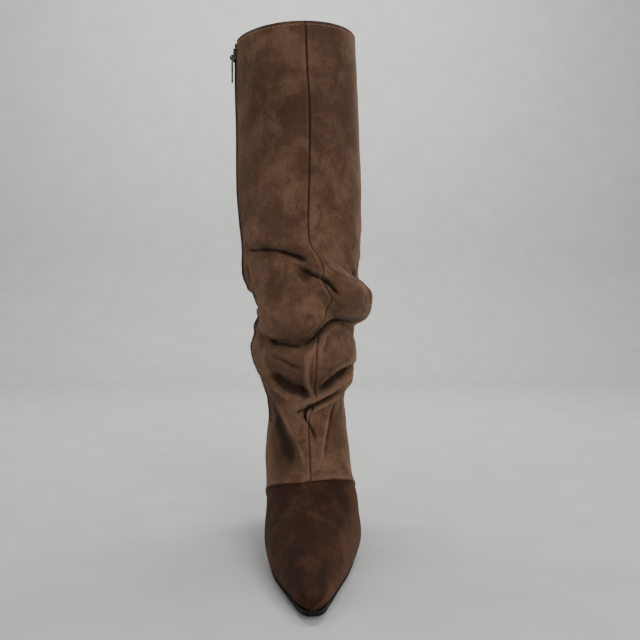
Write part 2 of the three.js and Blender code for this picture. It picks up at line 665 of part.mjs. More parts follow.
// Pull: a bar through the bail, two arms beside it and a tab that hangs from them
function makePull() {
  const armFrom = BAIL_WIDTH / 2 + PULL_CLEARANCE;
  const armTo = armFrom + PULL_ARM;
  const pivot = -BAIL_DROP;
  const neck = pivot - BAIL_OUTER - PULL_CLEARANCE;
  const tip = pivot - PULL_LENGTH;
  const tab = new THREE.Shape();
  tab.moveTo(armFrom, pivot);
  tab.absarc((armFrom + armTo) / 2, pivot, PULL_ARM / 2, Math.PI, 0, true);
  tab.lineTo(armTo, neck);
  tab.lineTo(PULL_TIP_WIDTH / 2, tip + PULL_TIP_WIDTH / 2);
  tab.absarc(0, tip + PULL_TIP_WIDTH / 2, PULL_TIP_WIDTH / 2, 0, -Math.PI, true);
  tab.lineTo(-armTo, neck);
  tab.lineTo(-armTo, pivot);
  tab.absarc(-(armFrom + armTo) / 2, pivot, PULL_ARM / 2, Math.PI, 0, true);
  tab.lineTo(-armFrom, neck);
  tab.lineTo(armFrom, neck);
  const plate = zipPlate(tab, PIVOT_HEIGHT - PULL_THICKNESS / 2, PIVOT_HEIGHT + PULL_THICKNESS / 2);
  const bar = new THREE.CylinderGeometry(PULL_BAR_RADIUS, PULL_BAR_RADIUS, 2 * armTo, 12);
  bar.rotateZ(Math.PI / 2);
  bar.translate(0, pivot, PIVOT_HEIGHT);
  return solid(plate).add(solid(bar));
}

// A named mesh of a body, with its own material
function piece(name, body, { color, roughness, metalness = 0 }) {
  const material = new THREE.MeshStandardMaterial({ color, roughness, metalness });
  const mesh = new THREE.Mesh(geometryOf(body), material);
  mesh.name = name;
  return mesh;
}

const SUEDE = { color: 0x5e463b, roughness: 0.95 };
const SOLE_BLACK = { color: 0x16120f, roughness: 0.5 };
const LINING = { color: 0x8a7364, roughness: 0.85 };
const TAPE = { color: 0x3b2a22, roughness: 0.8 };
const GUNMETAL = { color: 0x4a4640, roughness: 0.35, metalness: 1 };

const boot = new THREE.Group();
boot.add(piece('vamp', makeVamp(), SUEDE));
boot.add(piece('shaft', makeShaft(), SUEDE));
boot.add(piece('outsole', makeOutsole(), SOLE_BLACK));
boot.add(piece('insole', makeInsole(), LINING));
boot.add(piece('heel', makeHeel(), SUEDE));
boot.add(piece('heel_lift', makeHeelLift(), SOLE_BLACK));
boot.add(piece('zip_tape', makeZipTape(), TAPE));

const zip = new THREE.Group();
zip.applyMatrix4(SLIDER_FRAME);
zip.add(piece('zip_slider', makeSlider(), GUNMETAL));
zip.add(piece('zip_pull', makePull(), GUNMETAL));
boot.add(zip);

export default boot;
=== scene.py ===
import math

import bmesh
import bpy
import numpy as np
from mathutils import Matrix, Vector, noise


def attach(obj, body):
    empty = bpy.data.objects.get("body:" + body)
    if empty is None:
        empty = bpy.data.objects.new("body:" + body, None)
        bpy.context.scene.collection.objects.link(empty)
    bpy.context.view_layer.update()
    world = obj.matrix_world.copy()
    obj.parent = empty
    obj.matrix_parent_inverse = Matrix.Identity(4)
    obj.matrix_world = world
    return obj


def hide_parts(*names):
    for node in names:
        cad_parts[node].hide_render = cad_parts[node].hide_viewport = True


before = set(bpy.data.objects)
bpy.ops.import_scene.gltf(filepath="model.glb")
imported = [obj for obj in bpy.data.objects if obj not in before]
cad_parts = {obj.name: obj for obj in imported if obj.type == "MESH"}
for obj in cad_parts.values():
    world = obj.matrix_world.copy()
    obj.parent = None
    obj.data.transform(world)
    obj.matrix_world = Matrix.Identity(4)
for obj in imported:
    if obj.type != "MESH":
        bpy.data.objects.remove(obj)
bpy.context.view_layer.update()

# Millimetres in the frame of the part: origin under the heel, toe to -Y, zip side -X, +Z up
MM = 0.001

# The foot
FOOT_LENGTH = 262
HEEL_OVERHANG = 30
BALL_WIDTH = 88
INSTEP_HEIGHT = 67.5
HEEL_HEIGHT = 72
TOE_SPRING = 5.5
TOE_Y = HEEL_OVERHANG - FOOT_LENGTH

# The leg
SHAFT_HEIGHT = 422
SHAFT_WIDTH = 126
SHAFT_DEPTH = 112
SHAFT_AXIS_Y = -24
SHAFT_LEAN = 11.4
COLLAR_TILT = 4.5
COLLAR_DIP = 3
SLOUCH_DEPTH = 16
SLOUCH_REACH = 24
SLOUCH_TOP = 0.53

# Sole and heel
SOLE_THICKNESS = 4.0
WAIST_THICKNESS = 3.0
SOLE_EDGE = 0.8
SOLE_RISE = HEEL_HEIGHT - SOLE_THICKNESS
HEEL_BREAST_Y = -22
LIFT_THICKNESS = 6
LIFT_WIDTH = 32
LIFT_LENGTH = 30
HEEL_FLARE = 1.9
GAP = 0.3

# Suede, lining and seams
SUEDE = 1.2
LINING = 0.7
LINING_GAP = 0.1
LINING_SLACK = 1.2  # how much further in the lining lies where the leg is slouched
VAMP_STEP = 0.7
VAMP_TUCK = 2.4  # how far the vamp runs on under the leg's edge
SEAM_WIDTH = 0.75
SEAM_DEPTH = 1.0
LAP_WIDTH = 2.0  # the folded edge of the leg over the vamp
LAP_SWELL = 0.7
SEAM_SWELL_INNER = 0.8  # the seam's swelling, broad on its inner side and slight on its outer side
SEAM_SWELL_OUTER = 0.2
SWELL_PLACE = 3.4  # seam widths from the seam to its swelling
BACK_SEAM = 0.8  # how deep the back seam is as a share of the front one
EDGE_DIP, EDGE_DIP_WIDTH = 0.35, 0.8  # how the leg's folded edge rounds off at the vamp
TOP_DIP, TOP_DIP_WIDTH = 0.5, 1.0  # and its top edge
STITCH_PITCH = 3.2
STITCH_LENGTH = 2.0
STITCH_RADIUS = 0.3
# Rings of a stitch: place along it from -1 to 1, and radius and height as shares of STITCH_RADIUS
STITCH_RINGS = ((-1, 0.35, -0.25), (-0.6, 1, 0.1), (0.6, 1, 0.1), (1, 0.35, -0.25))
COLLAR_STITCH_DROP = 3.0
TOPLINE_SIZE = (1.05, 0.75)  # half its width and height

# The zip
ZIP_Y = -38
ZIP_OPENING = 8
ZIP_FOOT_HEIGHT = 40
ZIP_TOP_DROP = 3
SLIDER_DROP = 13
ZIP_STITCH_MARGIN = 2.2
TOOTH_PITCH = 1.5
TOOTH_LENGTH = 2.5
TOOTH_MESH = 0.55  # how far a tooth reaches over the zip's line
TOOTH_DEPTH = 0.75  # how far the coil's middle lies under the suede's face
TOOTH_RADII = (0.34, 0.42, 0.38, 0.3)
TOOTH_PARTING = 1.2  # how far each row of teeth moves aside at the top, above the slider
CLOTH_TUCK = 0.6  # how far the zip's cloth runs on under each edge of its slot
CLOTH_DEPTH = 1.1
CLOTH_THICKNESS = 0.6


def table(names, rows):
    """Rows of numbers as one array for each named column."""
    columns = np.array(rows, float).T
    return dict(zip(names.split(), columns))


# The feather line, where upper and sole meet, as in the part's source
FEATHER = table("along spring rise thickness", [
    (0.0, 1.0, 0, 1), (0.08, 0.42, 0, 1), (0.17, 0.1, 0, 1), (0.25, 0, 0, 1),
    (0.44, 0, 0, 1), (0.485, 0, 0.024, 0.8), (0.523, 0, 0.08, 0.5), (0.58, 0, 0.2, 0.2),
    (0.637, 0, 0.368, 0), (0.695, 0, 0.544, 0), (0.752, 0, 0.706, 0), (0.809, 0, 0.846, 0),
    (0.885, 0, 1.0, 0), (0.943, 0, 1.056, 0), (1.0, 0, 1.11, 0), (1.12, 0, 1.23, 0),
])

# Slanted sections of the last, from the toe tip to the ankle
LAST = table("top rise lift bottom sit inner outer widest base", [
    (0.001, 0.2, 0, 0.004, -0.03, 0.057, 0.057, 0.5, 2),
    (0.006, 0.255, 0, 0.009, -0.03, 0.125, 0.125, 0.5, 2),
    (0.022, 0.315, 0, 0.022, -0.033, 0.211, 0.211, 0.46, 2),
    (0.051, 0.37, 0, 0.051, -0.039, 0.295, 0.295, 0.41, 2),
    (0.099, 0.435, 0, 0.099, -0.043, 0.402, 0.402, 0.364, 2),
    (0.16, 0.515, 0, 0.16, -0.053, 0.525, 0.54, 0.334, 2),
    (0.229, 0.605, 0, 0.232, -0.071, 0.65, 0.672, 0.328, 2.1),
    (0.313, 0.71, 0, 0.32, -0.089, 0.775, 0.828, 0.32, 2.4),
    (0.405, 0.84, 0, 0.42, -0.089, 0.863, 0.99, 0.3, 2.7),
    (0.489, 1.0, 0, 0.515, -0.089, 0.909, 1.1, 0.31, 3.0),
    (0.546, 1.0, 0.18, 0.618, -0.089, 0.89, 1.09, 0.34, 3.0),
    (0.58, 1.0, 0.37, 0.721, -0.089, 0.9, 0.99, 0.38, 2.8),
    (0.596, 1.0, 0.54, 0.828, -0.089, 0.93, 0.966, 0.43, 2.6),
    (0.6, 1.0, 0.68, 0.931, -0.089, 0.923, 0.955, 0.47, 2.45),
    (0.6, 1.0, 0.79, 0.992, -0.052, 0.9, 0.927, 0.5, 2.25),
    (0.599, 1.0, 0.9, 1.012, 0.178, 0.875, 0.914, 0.5, 2.1),
    (0.596, 1.0, 1.03, 1.004, 0.533, 0.895, 0.885, 0.5, 2),
])
LAST_END = len(LAST["top"]) - 1

# Level sections of the leg, from the ankle to the collar
LEG = table("up lean width depth back", [
    (0.19, 0.15, 0.705, 0.92, -0.0045), (0.225, 0.15, 0.755, 0.945, -0.0089),
    (0.268, 0.15, 0.78, 0.965, -0.0089), (0.315, 0.17, 0.815, 0.98, -0.0089),
    (0.363, 0.24, 0.85, 1.0, -0.0045), (0.438, 0.4, 0.913, 1.01, -0.0045),
    (0.536, 0.5, 0.97, 1.02, 0), (0.652, 0.66, 1.008, 1.01, 0.0045),
    (0.787, 0.77, 0.993, 1.0, 0.0045), (0.884, 0.89, 0.988, 0.99, 0),
    (1.0, 1.0, 0.968, 0.975, -0.0045),
])
LEG_FROM = 0.19
ANKLE_BRIDGE = 1.0  # rows between the last's end and the leg's start
LEG_START = LAST_END + ANKLE_BRIDGE

# The slouch, as in the part's source: angle and height of each fold's path, how far it stands out,
# its reach over and under the crest, how far it droops, and the power of its section where not 2
FOLDS = [
    ([(12, 0.44), (30, 0.408), (47, 0.39), (70, 0.38), (105, 0.378), (150, 0.388)], 0.95, 1.0, 1.12, 0.2, 4),
    ([(0, 0.283), (16, 0.308), (40, 0.328), (60, 0.325), (82, 0.31)], -0.5, 0.45, 0.55, 0),
    ([(-52, 0.283), (-25, 0.277), (4, 0.278)], -0.4, 0.45, 0.45, 0),
    ([(-55, 0.335), (-20, 0.335), (10, 0.355)], 0.34, 1.0, 0.8, 0.2),
    ([(-8, 0.448), (14, 0.428), (36, 0.398)], -0.45, 0.5, 0.55, 0),
    ([(-62, 0.515), (-25, 0.51), (10, 0.485)], 0.2, 0.8, 0.6, 0.3),
    ([(-60, 0.492), (-20, 0.483), (10, 0.462)], -0.22, 0.5, 0.5, 0),
    ([(-150, 0.45), (-100, 0.44), (-68, 0.436)], 0.14, 1.3, 0.5, 0.4),
    ([(-150, 0.368), (-95, 0.36), (-60, 0.35)], -0.46, 0.75, 0.75, 0),
    ([(-150, 0.285), (-95, 0.272), (-58, 0.262)], 0.36, 0.6, 1.5, 0.2),
    ([(-50, 0.205), (-20, 0.188), (4, 0.172)], -0.5, 0.75, 0.5, 0),
    ([(18, 0.262), (60, 0.252), (110, 0.245)], 0.26, 0.9, 0.8, 0.2),
    ([(14, 0.176), (34, 0.195), (64, 0.218)], -0.24, 0.5, 0.5, 0),
    ([(-22, 0.13), (5, 0.146), (30, 0.165), (80, 0.194), (120, 0.2)], 0.28, 0.6, 0.6, 0.2),
    ([(130, 0.455), (180, 0.462), (215, 0.45)], 0.38, 0.9, 0.55, 0.3),
    ([(140, 0.395), (180, 0.402), (225, 0.392)], -0.3, 0.5, 0.5, 0),
    ([(110, 0.345), (180, 0.35), (225, 0.338)], 0.36, 0.7, 0.55, 0.3),
    ([(120, 0.29), (180, 0.294), (220, 0.3)], -0.3, 0.45, 0.45, 0),
    ([(110, 0.24), (180, 0.245), (240, 0.235)], 0.34, 0.65, 0.55, 0.3),
    ([(100, 0.19), (180, 0.186), (250, 0.184)], -0.24, 0.45, 0.55, 0),
]
FOLD_FADE = 26

# Painted light and shade that follow the form: above 0 is painted lighter, below 0 painted darker
FOLD_SHADING = 0.25  # for each millimetre that a fold stands out
FOLD_HIGHLIGHT_MAX = 0.6  # the lightest that a fold's crest gets
MOVE_SHADING = 1.2  # for each millimetre of the waves and the seams
# painted highlight on the ridge of the leg's lapped edge over the vamp
LAP_HIGHLIGHT = 1.2
# painted shade in the groove of the leg's front seam, and its width
SEAM_SHADE, SEAM_SHADE_WIDTH = 1.6, 0.9
# painted shadow on the vamp just under the leg's edge, and its width
VAMP_SEAM_SHADOW, VAMP_SEAM_SHADOW_WIDTH = 2.4, 1.3
TOE_TONE = 1.3

# Fine creases and ridges, placed one by one. Each has a path of (angle, up) points, its depth as a share of
# the largest fold's (below 0 in a crease), and its reach to the left and to the right of its run, as
# shares of the largest fold's reach. A third number at a point is how much stronger it is there
CREASES = [
    # crease across the shin, upper left
    ([(-66, 0.489, 0.7), (-52, 0.492, 0.7), (-36, 0.491, 0.8), (-20, 0.485), (-7, 0.475, 1.2),
      (8, 0.461, 1.2)], -0.26, 0.16, 0.16),
    # ridge between it and the deep crease
    ([(-30, 0.475, 0.4), (-10, 0.461, 0.8), (4, 0.449), (14, 0.437), (24, 0.42)], 0.12, 0.2, 0.1),
    # deep crease under the shin, running into the outer roll
    ([(-3, 0.445, 0.3), (5, 0.44, 0.5), (11, 0.435, 0.7), (17, 0.428), (23, 0.417, 1.1),
      (28, 0.403, 1.1), (33, 0.388)], -0.36, 0.14, 0.15),
    # upper edge of the outer roll
    ([(13, 0.485, 0.6), (16, 0.47), (21, 0.451), (28, 0.437), (39, 0.428), (50, 0.424, 0.8),
      (66, 0.421, 0.3)], -0.1, 0.16, 0.09),
    # creases over the outer roll, and one along it behind
    ([(56, 0.455, 0.5), (64, 0.428), (70, 0.395), (71, 0.362, 0.5)], -0.13, 0.2, 0.24),
    ([(106, 0.47, 0.5), (102, 0.438), (104, 0.4, 1.2), (110, 0.362), (113, 0.34, 0.5)], -0.22, 0.28, 0.2),
    ([(104, 0.404, 0.6), (114, 0.392), (128, 0.386, 1.2), (144, 0.392), (158, 0.405, 0.6)],
      -0.3, 0.22, 0.2),
    ([(80, 0.47, 0.5), (96, 0.455), (116, 0.452), (138, 0.46, 0.6)], -0.16, 0.3, 0.4),
    ([(132, 0.45, 0.6), (140, 0.425), (146, 0.39), (149, 0.355, 0.5)], -0.2, 0.24, 0.3),
    # tuck under the outer roll
    ([(-5, 0.274, 0.7), (2, 0.277), (9, 0.286, 1.3), (17, 0.302, 1.3), (26, 0.319), (36, 0.33),
      (50, 0.335, 0.8), (66, 0.333, 0.8), (84, 0.325, 0.6)], -0.3, 0.18, 0.14),
    ([(13, 0.262), (19, 0.288), (29, 0.309), (40, 0.317), (52, 0.315)], 0.15, 0.13, 0.16),
    # crease under the front panel, with a soft ridge over it
    ([(-52, 0.287), (-46, 0.284, 1.2), (-38, 0.278), (-20, 0.273, 0.7), (-4, 0.271, 0.8)],
      -0.22, 0.14, 0.13),
    ([(-46, 0.3), (-30, 0.294), (-12, 0.29)], 0.08, 0.18, 0.14),
    # small slanting crease below it
    ([(-44, 0.251), (-34, 0.245, 0.7), (-25, 0.239), (-14, 0.228), (-2, 0.223, 0.7)], -0.16, 0.14, 0.16),
    # hollow over the ankle, and the ridge at its lower end
    ([(-54, 0.207, 0.7), (-42, 0.191), (-30, 0.18), (-18, 0.171, 1.1), (-6, 0.165, 1.1), (5, 0.161)],
      -0.3, 0.5, 0.16),
    ([(-50, 0.19), (-42, 0.172), (-32, 0.16), (-24, 0.154)], 0.14, 0.16, 0.2),
    # broad ridge beside the seam
    ([(5, 0.272), (3, 0.25), (1, 0.225, 1.1), (1, 0.2, 1.1), (3, 0.177), (7, 0.158)], 0.24, 0.24, 0.3),
    # crease and ridge across the outer ankle
    ([(92, 0.224), (72, 0.222, 0.7), (60, 0.212), (48, 0.203), (36, 0.193, 1.2), (26, 0.184, 1.2),
      (17, 0.175)], -0.34, 0.14, 0.2),
    ([(80, 0.206, 0.3), (64, 0.2, 0.7), (47, 0.188), (27, 0.17), (10, 0.157), (-6, 0.146), (-20, 0.13)],
      0.3, 0.1, 0.16),
    # deep crease under that ridge, widest where it turns down the seam
    ([(60, 0.18), (45, 0.171, 0.6), (30, 0.161, 0.7), (16, 0.151, 0.9), (5, 0.142, 1.2),
      (-3, 0.132, 1.4), (-4, 0.119, 1.1), (0, 0.102, 0.7), (6, 0.085, 0.6), (10, 0.063, 0.6),
      (10, 0.04, 0.4)], -0.34, 0.16, 0.14),
    ([(-16, 0.126), (-9, 0.132, 1.2), (-2, 0.137)], -0.2, 0.1, 0.16),
    ([(66, 0.172), (50, 0.161), (37, 0.152), (19, 0.141), (7, 0.131), (3, 0.118, 0.7), (4, 0.104, 0.4)],
      0.18, 0.13, 0.1),
    # ridge with a crease behind it, down the outer side of the instep
    ([(42, 0.16), (36, 0.14), (30, 0.118), (24, 0.085), (18, 0.043), (14, 0.01)], 0.17, 0.08, 0.18),
    ([(60, 0.176), (50, 0.162, 1.2), (42, 0.142, 1.2), (35, 0.118), (29, 0.09, 0.7), (23, 0.05, 0.5),
      (19, 0.02, 0.5)], -0.2, 0.18, 0.14),
    # ridge down the inner side of the ankle, and the hollow beside it
    ([(-56, 0.155), (-45, 0.137), (-34, 0.115), (-24, 0.087), (-13, 0.056), (-6, 0.026), (-3, 0.0)],
      0.15, 0.16, 0.22),
    ([(-48, 0.12, 0.8), (-37, 0.082), (-27, 0.05, 1.1), (-20, 0.024, 0.8), (-17, 0.012, 0.5)],
      -0.12, 0.34, 0.5),
    # inner side: undercut of the upper bulge, small bulge and the placket's edge
    ([(-115, 0.388), (-95, 0.396), (-80, 0.4, 1.2), (-67, 0.393), (-56, 0.38)], -0.22, 0.12, 0.5),
    ([(-110, 0.35), (-85, 0.352), (-62, 0.352), (-48, 0.347)], 0.14, 0.2, 0.2),
    ([(-64, 0.5), (-61, 0.466), (-58, 0.42), (-54, 0.385), (-51, 0.35), (-51, 0.31), (-54, 0.25),
      (-57, 0.194)], 0.09, 0.12, 0.12),
    # short ridges on the outer panel
    ([(22, 0.305), (18, 0.285), (15, 0.262), (17, 0.238)], 0.13, 0.12, 0.12),
    ([(27, 0.3), (22, 0.28), (20, 0.255)], -0.09, 0.12, 0.14),
]
CREASE_TAPER = 0.2

# Painted patches of shade and light on the leg, as the painted shade over the inner ankle: angle and height,
# half widths round and up the leg, and how much lighter or darker
SHADING_PATCHES = [
    ((-30, 0.035), (20, 0.05), -2.0),
    ((-50, 0.11), (18, 0.07), -2.6),
    ((4, 0.37), (16, 0.05), 0.7),
    ((30, 0.06), (14, 0.07), 0.6),
    ((-48, 0.33), (12, 0.06), 0.4),
    ((-30, 0.8), (45, 0.3), -1.6),
    ((45, 0.82), (45, 0.3), -1.7),
    ((40, 0.42), (40, 0.03), -1.2),
]

# Waves of the leg's suede: size, seed, depth all over and how much more where it is slouched
WAVES = [(17, 3.1, 0.35, 0.75), (7, 9.4, 0, 0.45), (4.2, 2.8, 0, 0.3)]

# Painted light and shade on the vamp, in bands along it: a lit band on the outer side, a painted reflection
# low on the inner side and painted shade above it. Share of the way round to the sole, width and how much
# lighter or darker
VAMP_SHADING_BANDS = [(0.6, 0.2, 3.4), (-0.68, 0.1, 1.2), (-0.36, 0.13, -1.3)]

# Run of the front seam: angle at each height, up as in LEG
SEAM = table("up angle", [
    (-0.03, 4), (0.045, 3), (0.086, 2), (0.122, 4), (0.164, 11), (0.2, 12), (0.265, 12), (0.3, 17),
    (0.345, 22), (0.366, 23), (0.385, 22), (0.399, 20), (0.434, 17), (0.463, 15), (0.48, 12), (0.492, 9),
    (0.517, 6), (0.553, 6), (0.6, 7), (0.642, 8), (0.82, 10), (0.91, 9), (1.0, 9),
])

# Seam across the vamp: share of the foot's length for each share of the instep's height
VAMP_SEAM = table("rise along", [
    (0, 0.662), (0.5, 0.656), (0.69, 0.637), (0.83, 0.6), (0.93, 0.545), (1.0, 0.489), (1.1, 0.41),
])
SEAM_TILT = 0.05


def lerp(a, b, t):
    return a + (b - a) * t


def smoothstep(x, low, high):
    t = np.clip((x - low) / (high - low), 0, 1)
    return t * t * (3 - 2 * t)


def bell(distance, width):
    """1 on a line, falling off evenly on both sides over about a width."""
    return np.exp(-(distance / width) ** 2)


def cubic(start, leave, end, arrive, t):
    """Between start and end, leaving and arriving with these slopes."""
    t2, t3 = t * t, t * t * t
    return ((2 * t3 - 3 * t2 + 1) * start + (t3 - 2 * t2 + t) * leave
            + (3 * t2 - 2 * t3) * end + (t3 - t2) * arrive)


def curve(x, y, at):
    """A smooth curve through points, with no overshoot."""
    x, y = np.asarray(x, float), np.asarray(y, float)
    at = np.clip(at, x[0], x[-1])
    slope = np.diff(y) / np.diff(x)
    before, after = slope[:-1], slope[1:]
    product = before * after
    inner = np.where(product > 0, 2 * product / np.where(product > 0, before + after, 1), 0)
    tangent = np.concatenate([slope[:1], inner, slope[-1:]])
    i = np.clip(np.searchsorted(x, at, side="right") - 1, 0, len(x) - 2)
    span = x[i + 1] - x[i]
    return cubic(y[i], span * tangent[i], y[i + 1], span * tangent[i + 1], (at - x[i]) / span)


def share_of(y):
    return (y - TOE_Y) / FOOT_LENGTH


def y_along(share):
    return TOE_Y + share * FOOT_LENGTH


def feather_height(y):
    share = share_of(y)
    spring = curve(FEATHER["along"], FEATHER["spring"], share)
    rise = curve(FEATHER["along"], FEATHER["rise"], share)
    return SOLE_THICKNESS + spring * TOE_SPRING + rise * SOLE_RISE


def sole_thickness(y):
    share = curve(FEATHER["along"], FEATHER["thickness"], share_of(y))
    return lerp(WAIST_THICKNESS, SOLE_THICKNESS, share)


def section_points(section, angle):
    """Points of one section of the boot. Angle 0 is at the front or top, and goes round by the outer side."""
    c, s = np.cos(angle), np.sin(angle)
    power = np.where(c >= 0, 1, 2 / section["base"])
    reach = np.abs(c) ** power
    widest = section["widest"]
    t = np.where(c >= 0, widest + (1 - widest) * reach, widest * (1 - reach))
    half = np.where(s >= 0, section["outer"], section["inner"])
    x = section["middle"] + np.sign(s) * half * np.abs(s) ** power
    y = lerp(section["bottom_y"], section["top_y"], t)
    z = lerp(section["bottom_z"], section["top_z"], t)
    return np.stack(np.broadcast_arrays(x, y, z), axis=-1)


def last_section(v):
    rows = np.arange(LAST_END + 1)
    at = {name: curve(rows, values, v) for name, values in LAST.items()}
    top_z = LAST["rise"] * INSTEP_HEIGHT + LAST["lift"] * HEEL_HEIGHT
    bottom_y = y_along(at["bottom"])
    return {
        "top_y": y_along(at["top"]),
        "top_z": curve(rows, top_z, v),
        "bottom_y": bottom_y,
        "bottom_z": feather_height(bottom_y) + at["sit"] * INSTEP_HEIGHT,
        "middle": 0.0,
        "inner": at["inner"] * BALL_WIDTH / 2,
        "outer": at["outer"] * BALL_WIDTH / 2,
        "widest": at["widest"],
        "base": at["base"],
    }


def leg_section(up):
    at = {name: curve(LEG["up"], values, up) for name, values in LEG.items()}
    z = HEEL_HEIGHT + up * SHAFT_HEIGHT
    y = SHAFT_AXIS_Y + at["back"] * SHAFT_DEPTH
    half = at["depth"] * SHAFT_DEPTH / 2
    width = at["width"] * SHAFT_WIDTH / 2
    return {
        "top_y": y - half, "top_z": z, "bottom_y": y + half, "bottom_z": z,
        "middle": -at["lean"] * SHAFT_LEAN, "inner": width, "outer": width, "widest": 0.5, "base": 2.0,
    }


def unit(vectors):
    return vectors / np.maximum(np.linalg.norm(vectors, axis=-1, keepdims=True), 1e-9)


def up_of(row):
    """Height on the leg, as in LEG, of a row number past the ankle."""
    return LEG_FROM + (row - LEG_START)


def row_at(z):
    """Row number of a level section of the leg at a height."""
    return LEG_START + (z - HEEL_HEIGHT) / SHAFT_HEIGHT - LEG_FROM


def height_on_leg(points):
    """Height of points on the leg, as in LEG."""
    return (points[..., 2] - HEEL_HEIGHT) / SHAFT_HEIGHT


def slouch_zone(up, low, full, fade):
    """1 where the leg is slouched, and less towards the foot and over the slouch."""
    return smoothstep(up, low, full) * (1 - smoothstep(up, SLOUCH_TOP, SLOUCH_TOP + fade))


def collar_rise(angle):
    return COLLAR_TILT * np.sin(angle) - COLLAR_DIP * (1 + np.cos(angle)) / 2


def plain_points(row, angle):
    """Points of the boot's plain form. Rows run from the toe tip over the last and up the leg."""
    row, angle = np.broadcast_arrays(row, angle)
    step = 0.01
    last = section_points(last_section(np.clip(row, 0, LAST_END)), angle)
    up = np.maximum(up_of(row), LEG_FROM)
    leg = section_points(leg_section(up), angle)
    leg[..., 2] += smoothstep(up, SLOUCH_TOP, 1) * collar_rise(angle)
    end = section_points(last_section(LAST_END), angle)
    start = section_points(leg_section(LEG_FROM), angle)
    span = np.linalg.norm(start - end, axis=-1, keepdims=True)
    leave = unit(end - section_points(last_section(LAST_END - step), angle)) * span
    arrive = unit(section_points(leg_section(LEG_FROM + step), angle) - start) * span
    t = np.clip((row - LAST_END) / ANKLE_BRIDGE, 0, 1)[..., None]
    bridge = cubic(end, leave, start, arrive, t)
    row = row[..., None]
    return np.where(row <= LAST_END, last, np.where(row < LEG_START, bridge, leg))


def swell(u, crown=2):
    u = np.minimum(np.abs(u), 1)
    return (1 - u ** crown) ** 2


def fold_move(fold, degrees, up):
    """How far a fold moves points of the leg out, and down."""
    path, depth, over, under, sag, *crown = fold
    angles = [p[0] for p in path]
    middle = (angles[0] + angles[-1]) / 2
    degrees = degrees + 360 * np.round((middle - degrees) / 360)
    inside = np.minimum(degrees - angles[0], angles[-1] - degrees)
    fade = smoothstep(inside, -FOLD_FADE / 2, FOLD_FADE / 2)
    above = (up - curve(angles, [p[1] for p in path], degrees)) * SHAFT_HEIGHT
    reach = np.where(above > 0, over, under) * SLOUCH_REACH
    out = depth * SLOUCH_DEPTH * fade * swell(above / reach, *crown)
    return out, sag * np.abs(out)


DEGREE = math.radians(1) * (SHAFT_WIDTH + SHAFT_DEPTH) / 4  # length of a degree round the leg


def crease_move(crease, degrees, up):
    """How far a fine crease or ridge moves points out. It tapers off towards its ends."""
    path, depth, left, right = crease
    knots = np.array([(*point, 1)[:3] for point in path], float)
    even = np.linspace(0, len(path) - 1, 6 * len(path))
    rows = np.arange(len(path))
    run_degrees, run_up = (curve(rows, knots[:, k], even) for k in (0, 1))
    line = np.stack([run_degrees * DEGREE, run_up * SHAFT_HEIGHT], 1)
    middle = knots[:, 0].mean()
    degrees = degrees + 360 * np.round((middle - degrees) / 360)
    here = np.stack([degrees * DEGREE, up * SHAFT_HEIGHT], -1)
    strength = curve(rows, knots[:, 2], even)
    widest = max(left, right) * strength.max() * SLOUCH_REACH
    low, high = line.min(0) - widest, line.max(0) + widest
    near = np.all((here > low) & (here < high), axis=-1)
    out = np.zeros(degrees.shape)
    p = here[near]
    best = np.full(len(p), 1e9)
    side = np.zeros(len(p))
    along = np.zeros(len(p))
    weight = np.ones(len(p))
    lengths = np.linalg.norm(np.diff(line, axis=0), axis=1)
    run = np.concatenate([[0], np.cumsum(lengths)])
    for k, length in enumerate(lengths):
        way = (line[k + 1] - line[k]) / length
        off = p - line[k]
        t = np.clip(off @ way, 0, length)
        rest = off - t[:, None] * way
        distance = np.linalg.norm(rest, axis=1)
        closer = distance < best
        cross = way[0] * off[:, 1] - way[1] * off[:, 0]
        best = np.where(closer, distance, best)
        side = np.where(closer, cross, side)
        along = np.where(closer, (run[k] + t) / run[-1], along)
        weight = np.where(closer, lerp(strength[k], strength[k + 1], t / length), weight)
    reach = np.where(side > 0, left, right) * SLOUCH_REACH * np.sqrt(weight)
    taper = smoothstep(along, -0.02, CREASE_TAPER) * smoothstep(1 - along, -0.02, CREASE_TAPER)
    out[near] = depth * SLOUCH_DEPTH * weight * taper * swell(best / reach)
    return out


def folded(points, angle):
    """Points moved by every fold and crease, painted light and shade from how far each stands out, lighter on
    crests and darker in creases, and its fine move alone.
    """
    up = height_on_leg(points)
    degrees = np.degrees(angle)
    out = np.zeros(degrees.shape)
    down = np.zeros(degrees.shape)
    for fold in FOLDS:
        fold_out, fold_down = fold_move(fold, degrees, up)
        out += fold_out
        down += fold_down
    fine = np.zeros(degrees.shape)
    for crease in CREASES:
        fine += crease_move(crease, degrees, up)
    moved = points.copy()
    moved[..., 0] += np.sin(angle) * (out + fine)
    moved[..., 1] -= np.cos(angle) * (out + fine)
    moved[..., 2] -= down
    return moved, fine + np.minimum(FOLD_SHADING * out, FOLD_HIGHLIGHT_MAX), fine


def boot_points(row, angle):
    plain = plain_points(row, angle)
    return folded(plain, np.broadcast_to(angle, plain.shape[:-1]))[0]


def feather_table(gap):
    """Rows of the last, and for each the angle where the upper's side meets the sole."""
    rows = np.linspace(0, LAST_END, 321)
    section = last_section(rows)
    low, high = np.full(rows.shape, math.pi / 2), np.full(rows.shape, math.pi)
    for _ in range(40):
        middle = (low + high) / 2
        p = section_points(section, middle)
        under = p[..., 2] - feather_height(p[..., 1]) < gap
        low, high = np.where(under, low, middle), np.where(under, middle, high)
    return rows, (low + high) / 2


FEATHER_ROWS, FEATHER_ANGLES = feather_table(-GAP)


def feather_angle(row):
    return np.interp(row, FEATHER_ROWS, FEATHER_ANGLES)


def normals(points):
    """Outward directions on a grid of points, rows along the boot and columns round it."""
    along = np.gradient(points, axis=0)
    around = np.gradient(points, axis=1)
    return unit(np.cross(around, along))


